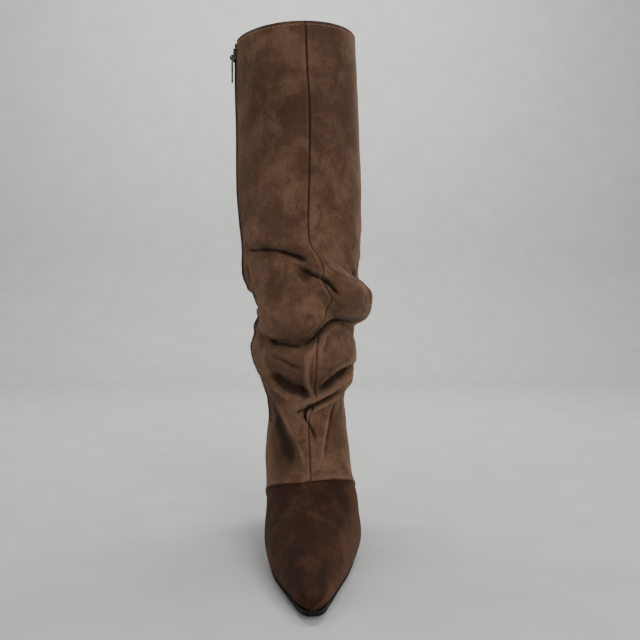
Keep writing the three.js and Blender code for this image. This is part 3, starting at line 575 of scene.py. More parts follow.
def crowded(low, high, count, centres):
    """Values from low to high, closer together at the centres: (place, reach, how much closer)."""
    x = np.linspace(low, high, 4001)
    density = np.ones(x.shape)
    for place, reach, more in centres:
        density += more * bell(x - place, reach)
    total = np.concatenate([[0], np.cumsum((density[1:] + density[:-1]) / 2)])
    return np.interp(np.linspace(0, total[-1], count), total, x)


def snapped(values, places):
    """Values with the nearest one moved to each place."""
    values = values.copy()
    for place in places:
        values[np.argmin(np.abs(values - place))] = place
    return values


def bare_object(name, points, faces):
    mesh = bpy.data.meshes.new(name)
    mesh.from_pydata([tuple(p) for p in np.asarray(points) * MM], [], [tuple(f) for f in faces])
    mesh.validate()
    obj = bpy.data.objects.new(name, mesh)
    bpy.context.collection.objects.link(obj)
    return obj


def smooth(obj, degrees=None):
    """Smooth shading, with edges kept sharp past an angle."""
    obj.data.polygons.foreach_set("use_smooth", [True] * len(obj.data.polygons))
    if degrees is not None:
        obj.data.set_sharp_from_angle(angle=math.radians(degrees))
    return obj


def add_bevel(obj, width, segments, degrees):
    """Rounded edges of a width in millimetres, where faces meet at more than an angle."""
    bevel = obj.modifiers.new("edge", "BEVEL")
    bevel.width = width * MM
    bevel.segments = segments
    bevel.limit_method = "ANGLE"
    bevel.angle_limit = math.radians(degrees)


def shell(name, outer, inner, shown=None, mottle_and_painted_shading=None):
    """A closed sheet between two grids of points. Cells where shown is False are left out."""
    rows, columns = outer.shape[:2]
    if shown is None:
        shown = np.ones((rows - 1, columns - 1), bool)
    number = np.arange(rows * columns).reshape(rows, columns)
    shift = rows * columns
    corners = [number[:-1, :-1], number[:-1, 1:], number[1:, 1:], number[1:, :-1]]
    a, b, c, d = [corner[shown] for corner in corners]
    faces = [np.stack([a, b, c, d], 1), np.stack([a, d, c, b], 1) + shift]
    padded = np.pad(shown, 1)
    inside = padded[1:-1, 1:-1]
    open_sides = [
        (inside & ~padded[:-2, 1:-1], corners[0], corners[1]),
        (inside & ~padded[1:-1, 2:], corners[1], corners[2]),
        (inside & ~padded[2:, 1:-1], corners[2], corners[3]),
        (inside & ~padded[1:-1, :-2], corners[3], corners[0]),
    ]
    for edge, first, second in open_sides:
        p, q = first[edge], second[edge]
        faces.append(np.stack([q, p, p + shift, q + shift], 1))
    faces = np.concatenate(faces)
    points = np.concatenate([outer.reshape(-1, 3), inner.reshape(-1, 3)])
    used, renumbered = np.unique(faces, return_inverse=True)
    obj = bare_object(name, points[used], renumbered.reshape(faces.shape).tolist())
    if mottle_and_painted_shading is not None:
        values = np.concatenate([mottle_and_painted_shading.reshape(-1)] * 2)[used]
        layer = obj.data.attributes.new("mottle_and_painted_shading", "FLOAT", "POINT")
        layer.data.foreach_set("value", values.astype(np.float32))
    return smooth(obj, 50)


# Camera, as the photo was taken: level, in front of the leg's lower half, turned a little to the outer side
CAMERA_PLACE = (-14.6, -678, 212)
CAMERA_TURN = 2.5
LENS = 36.06
SENSOR = 36


def add_camera():
    data = bpy.data.cameras.new("camera")
    data.lens = LENS
    data.sensor_width = SENSOR
    obj = bpy.data.objects.new("camera", data)
    obj.location = Vector(CAMERA_PLACE) * MM
    obj.rotation_euler = (math.pi / 2, 0, -math.radians(CAMERA_TURN))
    bpy.context.collection.objects.link(obj)
    bpy.context.scene.camera = obj


add_camera()


class Nodes:
    """Short ways to add and link the nodes of one material."""

    def __init__(self, name):
        self.material = bpy.data.materials.new(name)
        self.material.use_nodes = True
        self.tree = self.material.node_tree
        self.shader = self.tree.nodes["Principled BSDF"]
        self.place = self.add("ShaderNodeTexCoord").outputs["Object"]

    def add(self, kind, **settings):
        node = self.tree.nodes.new(kind)
        for key, value in settings.items():
            setattr(node, key, value)
        return node

    def link(self, source, target):
        if hasattr(source, "is_output"):
            self.tree.links.new(source, target)
        else:
            target.default_value = source

    def stretched(self, x, y, z):
        node = self.add("ShaderNodeMapping")
        node.inputs["Scale"].default_value = (x, y, z)
        self.link(self.place, node.inputs["Vector"])
        return node.outputs["Vector"]

    def noise(self, size, detail=3, roughness=0.5, place=None, distortion=0):
        """Noise with features of about a size, in millimetres."""
        node = self.add("ShaderNodeTexNoise")
        self.link(place or self.place, node.inputs["Vector"])
        node.inputs["Scale"].default_value = 1 / (size * MM)
        node.inputs["Detail"].default_value = detail
        node.inputs["Roughness"].default_value = roughness
        node.inputs["Distortion"].default_value = distortion
        return node.outputs["Fac"]

    def math(self, operation, a, b):
        node = self.add("ShaderNodeMath", operation=operation)
        self.link(a, node.inputs[0])
        self.link(b, node.inputs[1])
        return node.outputs[0]

    def spread(self, value, low, high, to_low=0.0, to_high=1.0):
        node = self.add("ShaderNodeMapRange", interpolation_type="SMOOTHSTEP")
        self.link(value, node.inputs["Value"])
        for key, number in (("From Min", low), ("From Max", high), ("To Min", to_low), ("To Max", to_high)):
            node.inputs[key].default_value = number
        return node.outputs["Result"]

    def mix(self, factor, a, b, blend="MIX"):
        node = self.add("ShaderNodeMix", data_type="RGBA", blend_type=blend)
        self.link(factor, node.inputs[0])
        self.link(a, node.inputs[6])
        self.link(b, node.inputs[7])
        return node.outputs[2]

    def attribute(self, name):
        node = self.add("ShaderNodeAttribute", attribute_name=name)
        return node.outputs["Fac"]

    def bump(self, height, depth, strength=1.0, under=None):
        """Bump of a depth in millimetres."""
        node = self.add("ShaderNodeBump")
        node.inputs["Strength"].default_value = strength
        node.inputs["Distance"].default_value = depth * MM
        self.link(height, node.inputs["Height"])
        if under is not None:
            self.link(under, node.inputs["Normal"])
        return node.outputs["Normal"]

    def finish(self, color, roughness, normal=None, **sockets):
        self.link(color, self.shader.inputs["Base Color"])
        self.link(roughness, self.shader.inputs["Roughness"])
        if normal is not None:
            self.link(normal, self.shader.inputs["Normal"])
        for key, value in sockets.items():
            self.shader.inputs[key.replace("_", " ")].default_value = value
        return self.material


def rgb(*values):
    return (*values, 1.0)


def suede_material(name, dark, mid, light, sheen):
    """Brushed suede: clouds of nap lying one way or the other, short fibres, painted highlights on ridges and
    painted shade in creases.
    """
    n = Nodes(name)
    clouds = n.noise(30, 4, 0.6, distortion=0.4)
    smudges = n.noise(10, 3, 0.6, place=n.stretched(1, 1, 0.55), distortion=0.8)
    specks = n.noise(2.2, 2, 0.6)
    fibres = n.noise(0.55, 2, 0.7, place=n.stretched(1, 1, 0.5))
    color = n.mix(n.spread(clouds, 0.36, 0.64, 0.05, 0.75), dark, light)
    color = n.mix(n.spread(smudges, 0.3, 0.7, 0.1, 0.5), color, mid)
    color = n.mix(n.spread(smudges, 0.52, 0.7, 0, 0.55), color, dark)
    color = n.mix(n.spread(specks, 0.35, 0.75, 0, 0.4), color, dark)
    color = n.mix(n.spread(fibres, 0.45, 0.8, 0, 0.35), color, light)
    mottle_and_painted_shading = n.attribute("mottle_and_painted_shading")
    # Painted highlights where the shading value is above 0, and painted shade down to near black where it is
    # below 0, in creases and hollows
    color = n.mix(n.spread(mottle_and_painted_shading, 0.0, 2.4, 0, 0.6), color, light)
    color = n.mix(n.spread(mottle_and_painted_shading, -4.0, -0.3, 0.92, 0), color, rgb(0.01, 0.0042, 0.0024))
    rough = n.spread(clouds, 0.3, 0.7, 0.86, 0.97)
    height = n.math("ADD", fibres, n.math("MULTIPLY", specks, 1.4))
    normal = n.bump(height, 0.16, 0.75)
    normal = n.bump(smudges, 0.9, 0.55, under=normal)
    return n.finish(color, rough, normal, Specular_IOR_Level=0.12, Sheen_Weight=sheen,
                    Sheen_Roughness=0.45, Sheen_Tint=rgb(0.9, 0.62, 0.46))


def sole_material():
    """Moulded black rubber with a faint grain and dull scuffs."""
    n = Nodes("black_rubber")
    grain = n.noise(0.5, 2)
    scuffs = n.noise(9, 4, 0.65)
    color = n.mix(n.spread(scuffs, 0.5, 0.75), rgb(0.003, 0.0027, 0.0025), rgb(0.012, 0.011, 0.01))
    rough = n.spread(scuffs, 0.35, 0.7, 0.5, 0.7)
    return n.finish(color, rough, n.bump(grain, 0.05, 0.5), Specular_IOR_Level=0.12)


def metal_material():
    """Dark polished gunmetal with fine scratches and faint clouds."""
    n = Nodes("gunmetal")
    scratches = n.noise(0.4, 2, place=n.stretched(1, 1, 0.12))
    clouds = n.noise(2.5, 3)
    color = n.mix(n.spread(clouds, 0.35, 0.7), rgb(0.008, 0.0072, 0.0065), rgb(0.024, 0.0215, 0.019))
    rough = n.spread(scratches, 0.3, 0.7, 0.3, 0.44)
    return n.finish(color, rough, n.bump(scratches, 0.02, 0.4), Metallic=1.0)


def weave_material(name, dark, light, size):
    """Plain woven cloth."""
    n = Nodes(name)
    across = n.add("ShaderNodeTexWave", bands_direction="Z")
    across.inputs["Scale"].default_value = 0.31 / (size * MM)
    n.link(n.place, across.inputs["Vector"])
    along = n.add("ShaderNodeTexWave", bands_direction="DIAGONAL")
    along.inputs["Scale"].default_value = 0.31 / (size * MM)
    n.link(n.stretched(1, 1, 0), along.inputs["Vector"])
    weave = n.math("MULTIPLY", across.outputs["Fac"], along.outputs["Fac"])
    color = n.mix(n.spread(weave, 0.1, 0.8), dark, light)
    return n.finish(n.mix(n.spread(n.noise(8), 0.4, 0.7, 0, 0.5), color, dark), 0.9, n.bump(weave, 0.15, 0.8))


def leather_material(name, dark, light):
    """Fine smooth leather with pores."""
    n = Nodes(name)
    pores = n.noise(0.9, 3, 0.7)
    clouds = n.noise(18, 4)
    color = n.mix(n.spread(clouds, 0.35, 0.68), dark, light)
    return n.finish(color, n.spread(pores, 0.3, 0.7, 0.55, 0.72), n.bump(pores, 0.08, 0.6))


SUEDE_LEG = suede_material(
    "suede_leg", rgb(0.036, 0.0175, 0.0092), rgb(0.064, 0.034, 0.0195), rgb(0.135, 0.076, 0.049), 0.22,
)
SUEDE_VAMP = suede_material(
    "suede_vamp", rgb(0.008, 0.0024, 0.0008), rgb(0.024, 0.0082, 0.0036), rgb(0.062, 0.027, 0.0145), 0.06,
)
BLACK_RUBBER = sole_material()
GUNMETAL = metal_material()
ZIP_CLOTH = weave_material("zip_cloth", rgb(0.014, 0.008, 0.006), rgb(0.05, 0.03, 0.022), 0.6)
COIL = leather_material("zip_coil", rgb(0.03, 0.015, 0.01), rgb(0.075, 0.042, 0.028))
LINING_LEATHER = leather_material("lining_leather", rgb(0.13, 0.08, 0.055), rgb(0.24, 0.16, 0.115))
SOCK_LEATHER = leather_material("sock_leather", rgb(0.2, 0.125, 0.085), rgb(0.3, 0.2, 0.14))
EDGE_PAINT = leather_material("edge_paint", rgb(0.012, 0.006, 0.004), rgb(0.03, 0.016, 0.011))
THREAD = weave_material("thread", rgb(0.17, 0.115, 0.08), rgb(0.34, 0.25, 0.185), 0.3)
ZIP_THREAD = weave_material("zip_thread", rgb(0.12, 0.055, 0.025), rgb(0.3, 0.15, 0.07), 0.3)


def paint(obj, material):
    obj.data.materials.clear()
    obj.data.materials.append(material)


def piece(obj, body, material, replaced=()):
    paint(obj, material)
    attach(obj, body)
    if replaced:
        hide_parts(*replaced)
    return obj


# How the suede of the leg is divided into a grid
FRONT_ANGLE = 10  # base angle of the front seam's column
SLOT_FRONT, SLOT_REAR = -71.3, -79.7  # base angles of the zip slot's edges
ROWS_LOW, ROWS_BRIDGE, ROWS_SLOUCH, ROWS_HIGH = 62, 14, 138, 70
ROW_AHEAD = 10  # row of the last from which the grid runs, before it is moved to the vamp's seam
SEAM_REACH = 0.6  # share of the low rows that follow the vamp's seam
PANEL_COLUMNS = 150
SLOUCH_Z = 292
ZIP_TOP_ROW = LEG_START + 1 - LEG_FROM
ZIP_ROW_FROM = 14  # the lowest row in which the zip's line is looked for
SLOT_ROW = 14.4  # from this row up, the slot's columns keep to its edges


def seam_row(angle_share):
    """Row of the last where the seam across the vamp crosses each column."""
    rows = np.linspace(6, 13.5, 601)[:, None]
    share = np.atleast_1d(angle_share)[None, :]
    p = plain_points(rows, share * feather_angle(rows))
    height = (p[..., 2] - SEAM_TILT * p[..., 0]) / INSTEP_HEIGHT
    ahead = curve(VAMP_SEAM["rise"], VAMP_SEAM["along"], height) - share_of(p[..., 1])
    crossed = np.argmax(ahead < 0, axis=0)
    columns = np.arange(share.shape[1])
    before, after = ahead[crossed - 1, columns], ahead[crossed, columns]
    t = before / (before - after)
    return lerp(rows[crossed - 1, 0], rows[crossed, 0], t)


def slot_edge(row, y):
    """Angle, in degrees, where a row crosses the plane y on the inner side."""
    low, high = np.full(row.shape, 40.0), np.full(row.shape, 130.0)
    for _ in range(30):
        middle = (low + high) / 2
        behind = plain_points(row, -np.radians(middle))[..., 1] > y
        low, high = np.where(behind, low, middle), np.where(behind, middle, high)
    return -(low + high) / 2


def leg_grid(base_degrees):
    """Rows and angles of a grid over the leg's suede, for columns at these base angles."""
    share = base_degrees / 180
    low = np.linspace(0, 1, ROWS_LOW + 1)[:-1]
    common = lerp(ROW_AHEAD, LAST_END, low)
    bridge = np.linspace(LAST_END, LEG_START, ROWS_BRIDGE + 1)[:-1]
    slouch = np.linspace(LEG_START, row_at(SLOUCH_Z), ROWS_SLOUCH + 1)[:-1]
    high = np.linspace(row_at(SLOUCH_Z), ZIP_TOP_ROW, ROWS_HIGH)
    rows = np.concatenate([common, bridge, slouch, high])[:, None]
    fade = np.clip(1 - np.concatenate([low, np.ones(len(rows) - len(low))]) / SEAM_REACH, 0, 1)[:, None] ** 2
    rows = rows + fade * (seam_row(share) - ROW_AHEAD)[None, :]
    middle = rows[:, np.argmin(np.abs(base_degrees - FRONT_ANGLE))]
    front = plain_points(middle, math.radians(FRONT_ANGLE))
    seam = curve(SEAM["up"], SEAM["angle"], height_on_leg(front))
    near_zip = np.maximum(middle, SLOT_ROW)
    slot_front = slot_edge(near_zip, ZIP_Y - ZIP_OPENING / 2)
    slot_rear = slot_edge(near_zip, ZIP_Y + ZIP_OPENING / 2)
    weight = smoothstep(middle, 12, SLOT_ROW)
    slot_front = lerp(SLOT_FRONT, slot_front, weight)
    slot_rear = lerp(SLOT_REAR, slot_rear, weight)
    knots = [-180, -115, SLOT_REAR, SLOT_FRONT, -35, FRONT_ANGLE, 95, 180]
    degrees = np.stack([
        np.interp(base_degrees, knots, [-180, -115, rear, front_edge, -35, at, 95, 180])
        for rear, front_edge, at in zip(slot_rear, slot_front, seam)
    ])
    return rows, np.radians(degrees) * feather_angle(np.minimum(rows, LAST_END)) / math.pi


def distance_from(points, column, axis):
    """Distance along the grid from one of its lines, in millimetres."""
    steps = np.linalg.norm(np.diff(points, axis=axis), axis=-1)
    run = np.cumsum(np.insert(steps, 0, 0, axis=axis), axis=axis)
    return np.abs(run - np.take(run, [column], axis=axis))


def seam_profile(distance, swelling):
    """A stitched-down seam: a groove with a soft swelling beside it."""
    beside = bell(distance - SWELL_PLACE * SEAM_WIDTH, 2 * SEAM_WIDTH)
    return swelling * beside - SEAM_DEPTH * bell(distance, SEAM_WIDTH)


def lowest_near(values, reach):
    """The lowest value within some cells of each cell of a grid."""
    padded = np.pad(values, reach, mode="edge")
    rows, columns = values.shape
    shifts = range(2 * reach + 1)
    return np.min([padded[i:i + rows, j:j + columns] for i in shifts for j in shifts], axis=0)


def undulation(points, size, seed):
    """Soft uneven waves of the suede, from -1 to 1."""
    flat = points.reshape(-1, 3) / size
    values = [noise.noise(Vector((x + seed, y, z))) for x, y, z in flat]
    return np.array(values).reshape(points.shape[:-1])


def leg_panel(base_degrees, seam_column, back_column, swelling):
    """Outer points of a leg panel, the painted light and shade of each, and points for a lining that spans
    fine creases.
    """
    rows, angle = leg_grid(base_degrees)
    plain = plain_points(rows, angle)
    points, mottle_and_painted_shading, fine = folded(plain, angle)
    radial = np.stack([np.sin(angle), -np.cos(angle), np.zeros(angle.shape)], -1)
    spanned = points + radial * (lowest_near(np.minimum(fine, 0), 3) - fine)[..., None]
    outward = normals(points)
    up = height_on_leg(points)
    slouched = slouch_zone(up, 0.02, 0.14, 0.12)
    waves = np.zeros(up.shape)
    for size, seed, all_over, more in WAVES:
        waves += undulation(points, size, seed) * (all_over + more * slouched)
    seam = distance_from(points, seam_column, 1)
    back = distance_from(points, back_column, 1)
    move = waves + seam_profile(seam, swelling) + BACK_SEAM * seam_profile(back, SEAM_SWELL_OUTER)
    edge = distance_from(points, 0, 0)
    lap = smoothstep(-up, -0.12, -0.04)
    rim = bell(edge - LAP_WIDTH, 0.6 * LAP_WIDTH)
    move += lap * (LAP_SWELL * rim - EDGE_DIP * bell(edge, EDGE_DIP_WIDTH))
    move -= TOP_DIP * bell(distance_from(points, len(points) - 1, 0), TOP_DIP_WIDTH)
    # Painted light and shade: bulges lighter and hollows darker, painted shade in the front seam's groove and
    # a painted highlight on the lapped edge's ridge, then painted patches of shade and light
    mottle_and_painted_shading = mottle_and_painted_shading + MOVE_SHADING * move - SEAM_SHADE * bell(seam, SEAM_SHADE_WIDTH) + LAP_HIGHLIGHT * lap * rim
    for (degrees, height), (around, along), shade in SHADING_PATCHES:
        away = ((np.degrees(angle) - degrees) / around) ** 2 + ((up - height) / along) ** 2
        mottle_and_painted_shading += shade * np.exp(-away)
    return points + outward * move[..., None], mottle_and_painted_shading, spanned


def zip_slot(points, base_degrees):
    """Cells of a panel's grid that lie outside the zip's slot."""
    columns = (base_degrees[:-1] + base_degrees[1:]) / 2
    beside = (columns < SLOT_REAR) | (columns > SLOT_FRONT)
    height = (points[:-1, :-1, 2] + points[1:, 1:, 2]) / 2
    return beside[None, :] | (height < HEEL_HEIGHT + ZIP_FOOT_HEIGHT)


INNER_BASE = snapped(
    crowded(-180, FRONT_ANGLE, PANEL_COLUMNS,
            [(FRONT_ANGLE, 7, 2.2), (-75, 9, 0.7), (-25, 40, 0.5), (-180, 4, 1)]),
    [SLOT_FRONT, SLOT_REAR],
)
OUTER_BASE = crowded(FRONT_ANGLE, 180, PANEL_COLUMNS, [(FRONT_ANGLE, 7, 2.2), (40, 40, 0.5), (180, 4, 1)])


def make_leg():
    linings = []
    for name, base, seam_column, back_column, swelling in (
        ("suede_inner_panel", INNER_BASE, PANEL_COLUMNS - 1, 0, SEAM_SWELL_INNER),
        ("suede_outer_panel", OUTER_BASE, 0, PANEL_COLUMNS - 1, SEAM_SWELL_OUTER),
    ):
        points, mottle_and_painted_shading, spanned = leg_panel(base, seam_column, back_column, swelling)
        inner = points - normals(points) * SUEDE
        obj = shell(name, points, inner, zip_slot(points, base), mottle_and_painted_shading)
        piece(obj, "boot", SUEDE_LEG, ["shaft"])
        linings.append((spanned, base))
    (first, first_base), (second, second_base) = linings
    points = np.concatenate([first[::2, ::2], second[::2, 1::2]], axis=1)
    base = np.concatenate([first_base[::2], second_base[1::2]])
    outward = normals(points)
    up = height_on_leg(points)
    slack = LINING_SLACK * slouch_zone(up, 0, 0.1, 0.1)
    over = points - outward * (SUEDE + LINING_GAP + slack)[..., None]
    under = over - outward * LINING
    lining = shell("lining", over, under, zip_slot(points, base))
    piece(lining, "boot", LINING_LEATHER)


NOSE_TURNS = (0, 22, 45, 67)  # degrees at which rings close the toe's tip
NOSE_BULGE = 0.9


def make_vamp():
    share = crowded(-1, 1, 150, [(0, 0.25, 0.4)])
    end = seam_row(share) + 0.12
    along = crowded(0, 1, 130, [(0, 0.08, 2)])[:, None]
    rows = along * end[None, :]
    angle = share[None, :] * feather_angle(rows)
    points = plain_points(rows, angle)
    nose = (points[0, 0] + points[0, -1]) / 2
    caps = []
    for turn in np.radians(NOSE_TURNS):
        ring = nose + (points[0] - nose) * math.sin(turn)
        ring[:, 1] -= NOSE_BULGE * math.cos(turn)
        caps.append(ring)
    points = np.concatenate([np.array(caps), points])
    first = len(caps)
    points[first:] += normals(points)[first:] * (0.35 * undulation(points[first:], 16, 5.2))[..., None]
    outward = normals(points)
    outward[:first] = np.array([0, -1, 0])
    points = points - outward * VAMP_STEP
    seam = np.maximum(distance_from(points, len(points) - 1, 0) - VAMP_TUCK, 0)
    mottle_and_painted_shading = 1.8 * undulation(points, 22, 1.7) + undulation(points, 9, 4.4) - 0.4
    # Painted shadow on the vamp just under the leg's lapped edge
    mottle_and_painted_shading -= VAMP_SEAM_SHADOW * bell(seam, VAMP_SEAM_SHADOW_WIDTH)
    # Painted bands of light and shade along the vamp's sides
    for place, width, shade in VAMP_SHADING_BANDS:
        mottle_and_painted_shading += shade * bell(share - place, width)
    mottle_and_painted_shading -= TOE_TONE * (1 - smoothstep(share_of(points[..., 1]), 0.08, 0.3))
    inner = points - outward * SUEDE
    obj = shell("suede_vamp", points, inner, mottle_and_painted_shading=mottle_and_painted_shading)
    piece(obj, "boot", SUEDE_VAMP, ["vamp"])


def feather_outline(grow, count=90):
    """Plan of the line where upper and sole meet: its inner and outer sides, from the toe to the back."""
    rows, angles = feather_table(0)
    end = rows[np.argmax(angles > math.pi - 1e-4)]
    at = end * np.sin(np.linspace(0, 1, count) * math.pi / 2)
    angle = np.interp(at, rows, angles)
    section = last_section(at)
    sides = [section_points(section, side * angle)[:, :2] for side in (-1, 1)]
    line = np.concatenate([sides[0][::-1], sides[1][1:]])
    run = unit(np.gradient(line, axis=0))
    line = line + grow * np.stack([-run[:, 1], run[:, 0]], 1) * np.sign(run[count - 1, 0]) * -1
    return line[:count][::-1], line[count - 1:]


def make_sole():
    inner_side, outer_side = feather_outline(SOLE_EDGE)
    keep = int(np.argmax(inner_side[:, 1] > HEEL_BREAST_Y - GAP))
    inner_side, outer_side = inner_side[:keep], outer_side[:keep]
    for side in (inner_side, outer_side):
        side[-1, 1] = HEEL_BREAST_Y - GAP
    across = np.linspace(0, 1, 15)[None, :, None]
    plan = inner_side[:, None, :] * (1 - across) + outer_side[:, None, :] * across
    top = np.concatenate([plan, feather_height(plan[..., 1])[..., None]], -1)
    under = top.copy()
    under[..., 2] -= sole_thickness(plan[..., 1])
    obj = shell("sole", top, under)
    add_bevel(obj, 0.5, 2, 50)
    piece(obj, "boot", BLACK_RUBBER, ["outsole"])


def seat_outline():
    """Plan of the heel's top: the feather line behind the breast, closed across it."""
    inner_side, outer_side = feather_outline(0)
    line = np.concatenate([inner_side, outer_side[::-1][1:]])
    line = line[line[:, 1] > HEEL_BREAST_Y + 0.2]
    start = int(np.argmax(np.linalg.norm(line - np.roll(line, 1, axis=0), axis=1)))
    line = np.roll(line, -start, axis=0)
    breast = np.stack([np.linspace(line[-1, 0], line[0, 0], 24), np.full(24, HEEL_BREAST_Y)], 1)
    return np.concatenate([line, breast])


def heel_ring(seat, share):
    """Outline of the heel between the lift, at share 0, and the seat, at share 1."""
    half = np.abs(seat[:, 0]).max()
    back = seat[:, 1].max()
    grow = share ** HEEL_FLARE
    x = seat[:, 0] / half * LIFT_WIDTH / 2
    y = ((seat[:, 1] - HEEL_BREAST_Y) / (back - HEEL_BREAST_Y) - 0.5) * LIFT_LENGTH
    return np.stack([lerp(x, seat[:, 0], grow), lerp(y, seat[:, 1], grow)], 1)


def capped(name, rings):
    """A closed solid from rings of points, each end closed on its own middle."""
    rings = np.asarray(rings)
    levels, count = rings.shape[:2]
    points = np.concatenate([rings.reshape(-1, 3), [rings[0].mean(0)], [rings[-1].mean(0)]])
    faces = []
    top = (levels - 1) * count
    for i in range(count):
        j = (i + 1) % count
        for a in range(0, top, count):
            faces.append((a + i, a + j, a + count + j, a + count + i))
        faces += [(levels * count, j, i), (levels * count + 1, top + i, top + j)]
    return bare_object(name, points, faces)


def fix_normals(obj):
    """Faces turned so that they all point out."""
    work = bmesh.new()
    work.from_mesh(obj.data)
    bmesh.ops.recalc_face_normals(work, faces=work.faces)
    work.to_mesh(obj.data)
    work.free()
    return obj


def make_heel():
    seat = seat_outline()
    seat_z = feather_height(seat[:, 1])
    rings = []
    for share in np.linspace(0, 1, 36):
        ring = heel_ring(seat, share)
        z = lerp(LIFT_THICKNESS + 0.1, seat_z, share)
        rings.append(np.concatenate([ring, z[:, None]], 1))
    obj = smooth(fix_normals(capped("heel_cover", rings)), 45)
    add_bevel(obj, 0.6, 3, 45)
    piece(obj, "boot", SUEDE_VAMP, ["heel"])
    ring = heel_ring(seat, 0)
    lift = [np.concatenate([ring, np.full((len(ring), 1), z)], 1) for z in (0, LIFT_THICKNESS)]
    obj = smooth(fix_normals(capped("top_lift", lift)), 45)
    add_bevel(obj, 0.4, 2, 45)
    piece(obj, "boot", BLACK_RUBBER, ["heel_lift"])


def zip_row(z):
    """Row number where the zip's line passes a height, down into the slanted sections of the ankle."""
    rows = np.linspace(ZIP_ROW_FROM, ZIP_TOP_ROW, 1200)
    heights = plain_points(rows, np.radians(slot_edge(rows, ZIP_Y)))[..., 2]
    return np.interp(z, heights, rows)


def zip_line(z, offset=0.0, across=0.0):
    """Points on the zip's line at heights, and their across, up and outward directions."""
    row = zip_row(z)
    turn = math.radians(0.6)
    angle = np.radians(slot_edge(row, ZIP_Y))
    here = boot_points(row, angle)
    around = unit(boot_points(row, angle + turn) - boot_points(row, angle - turn))
    along = unit(boot_points(row + 0.004, angle) - boot_points(row - 0.004, angle))
    outward = unit(np.cross(around, along))
    return here + outward * offset + around * across, around, along, outward


COLLAR_AT_ZIP = HEEL_HEIGHT + SHAFT_HEIGHT + collar_rise(math.radians(-75))
ZIP_HEAD = COLLAR_AT_ZIP - ZIP_TOP_DROP
ZIP_FOOT = HEEL_HEIGHT + ZIP_FOOT_HEIGHT


def make_tape():
    z = np.linspace(ZIP_FOOT - 0.5, ZIP_HEAD, 260)
    across = np.linspace(-ZIP_OPENING / 2 - CLOTH_TUCK, ZIP_OPENING / 2 + CLOTH_TUCK, 9)
    here, around, _, outward = zip_line(z)
    bow = CLOTH_DEPTH + 0.02 * across ** 2
    over = here[:, None] + around[:, None] * across[None, :, None] - outward[:, None] * bow[None, :, None]
    under = over - outward[:, None] * CLOTH_THICKNESS
    obj = shell("zip_cloth", over, under)
    piece(fix_normals(obj), "boot", ZIP_CLOTH, ["zip_tape"])


ROD_SIDES = 6
ROD_RINGS = 4
ROD_TURNS = np.radians(np.arange(ROD_SIDES) * 360 / ROD_SIDES)


def rod_faces(start):
    """Faces of one short closed rod: a tooth or a stitch, as rings of points one after the other."""
    faces = []
    for a in range(start, start + (ROD_RINGS - 1) * ROD_SIDES, ROD_SIDES):
        for i in range(ROD_SIDES):
            j = (i + 1) % ROD_SIDES
            faces.append((a + i, a + j, a + ROD_SIDES + j, a + ROD_SIDES + i))
    end = start + (ROD_RINGS - 1) * ROD_SIDES
    faces.append(tuple(range(start + ROD_SIDES - 1, start - 1, -1)))
    faces.append(tuple(range(end, end + ROD_SIDES)))
    return faces


def make_teeth():
    """Two rows of coil teeth that mesh on the zip's line, and part above the slider."""
    count = int((ZIP_HEAD - ZIP_FOOT - 1) / TOOTH_PITCH)
    z = ZIP_FOOT + 0.6 + np.arange(count) * TOOTH_PITCH
    part = smoothstep(z, COLLAR_AT_ZIP - SLIDER_DROP + 2, ZIP_HEAD)
    here, around, along, outward = zip_line(z, -TOOTH_DEPTH)
    points, faces = [], []
    for side in (-1, 1):
        for k in range(count):
            middle = here[k] + along[k] * (0.25 * side * TOOTH_PITCH)
            tip = part[k] * TOOTH_PARTING - TOOTH_MESH
            start = len(points)
            for place, radius in zip(np.linspace(tip, tip + TOOTH_LENGTH, ROD_RINGS), TOOTH_RADII):
                centre = middle + around[k] * side * place
                for t in ROD_TURNS:
                    points.append(centre + (along[k] * math.cos(t) + outward[k] * math.sin(t)) * radius)
            faces += rod_faces(start)
    obj = smooth(fix_normals(bare_object("zip_teeth", points, faces)), 60)
    piece(obj, "boot", COIL)


def stitches(name, places, runs, outs, material):
    """A row of short thread stitches, each a thin capsule along its run."""
    points, faces = [], []
    for place, run, out in zip(places, runs, outs):
        side = np.cross(run, out)
        start = len(points)
        for t, radius, lift in STITCH_RINGS:
            centre = place + run * t * STITCH_LENGTH / 2 + out * lift * STITCH_RADIUS
            for a in ROD_TURNS:
                points.append(centre + (side * math.cos(a) + out * math.sin(a)) * radius * STITCH_RADIUS)
        faces += rod_faces(start)
    obj = smooth(fix_normals(bare_object(name, points, faces)), 60)
    return piece(obj, "boot", material)


def make_topline():
    """Painted top edge of the collar, from one side of the zip's slot to the other."""
    angle = np.radians(np.linspace(SLOT_FRONT, 360 + SLOT_REAR, 361))
    edge = boot_points(ZIP_TOP_ROW, angle)
    up = unit(edge - boot_points(ZIP_TOP_ROW - 0.006, angle))
    around = unit(np.gradient(edge, axis=0))
    outward = unit(np.cross(around, up))
    middle = edge - outward * (SUEDE + LINING) / 2 + up * 0.1
    turns = np.radians(np.arange(0, 360, 36))
    width, height = TOPLINE_SIZE
    lines = [middle + outward * width * math.cos(t) + up * height * math.sin(t) for t in turns]
    grid = np.array(lines).transpose(1, 0, 2)
    obj = smooth(fix_normals(capped("topline", grid)), 70)
    piece(obj, "boot", EDGE_PAINT)


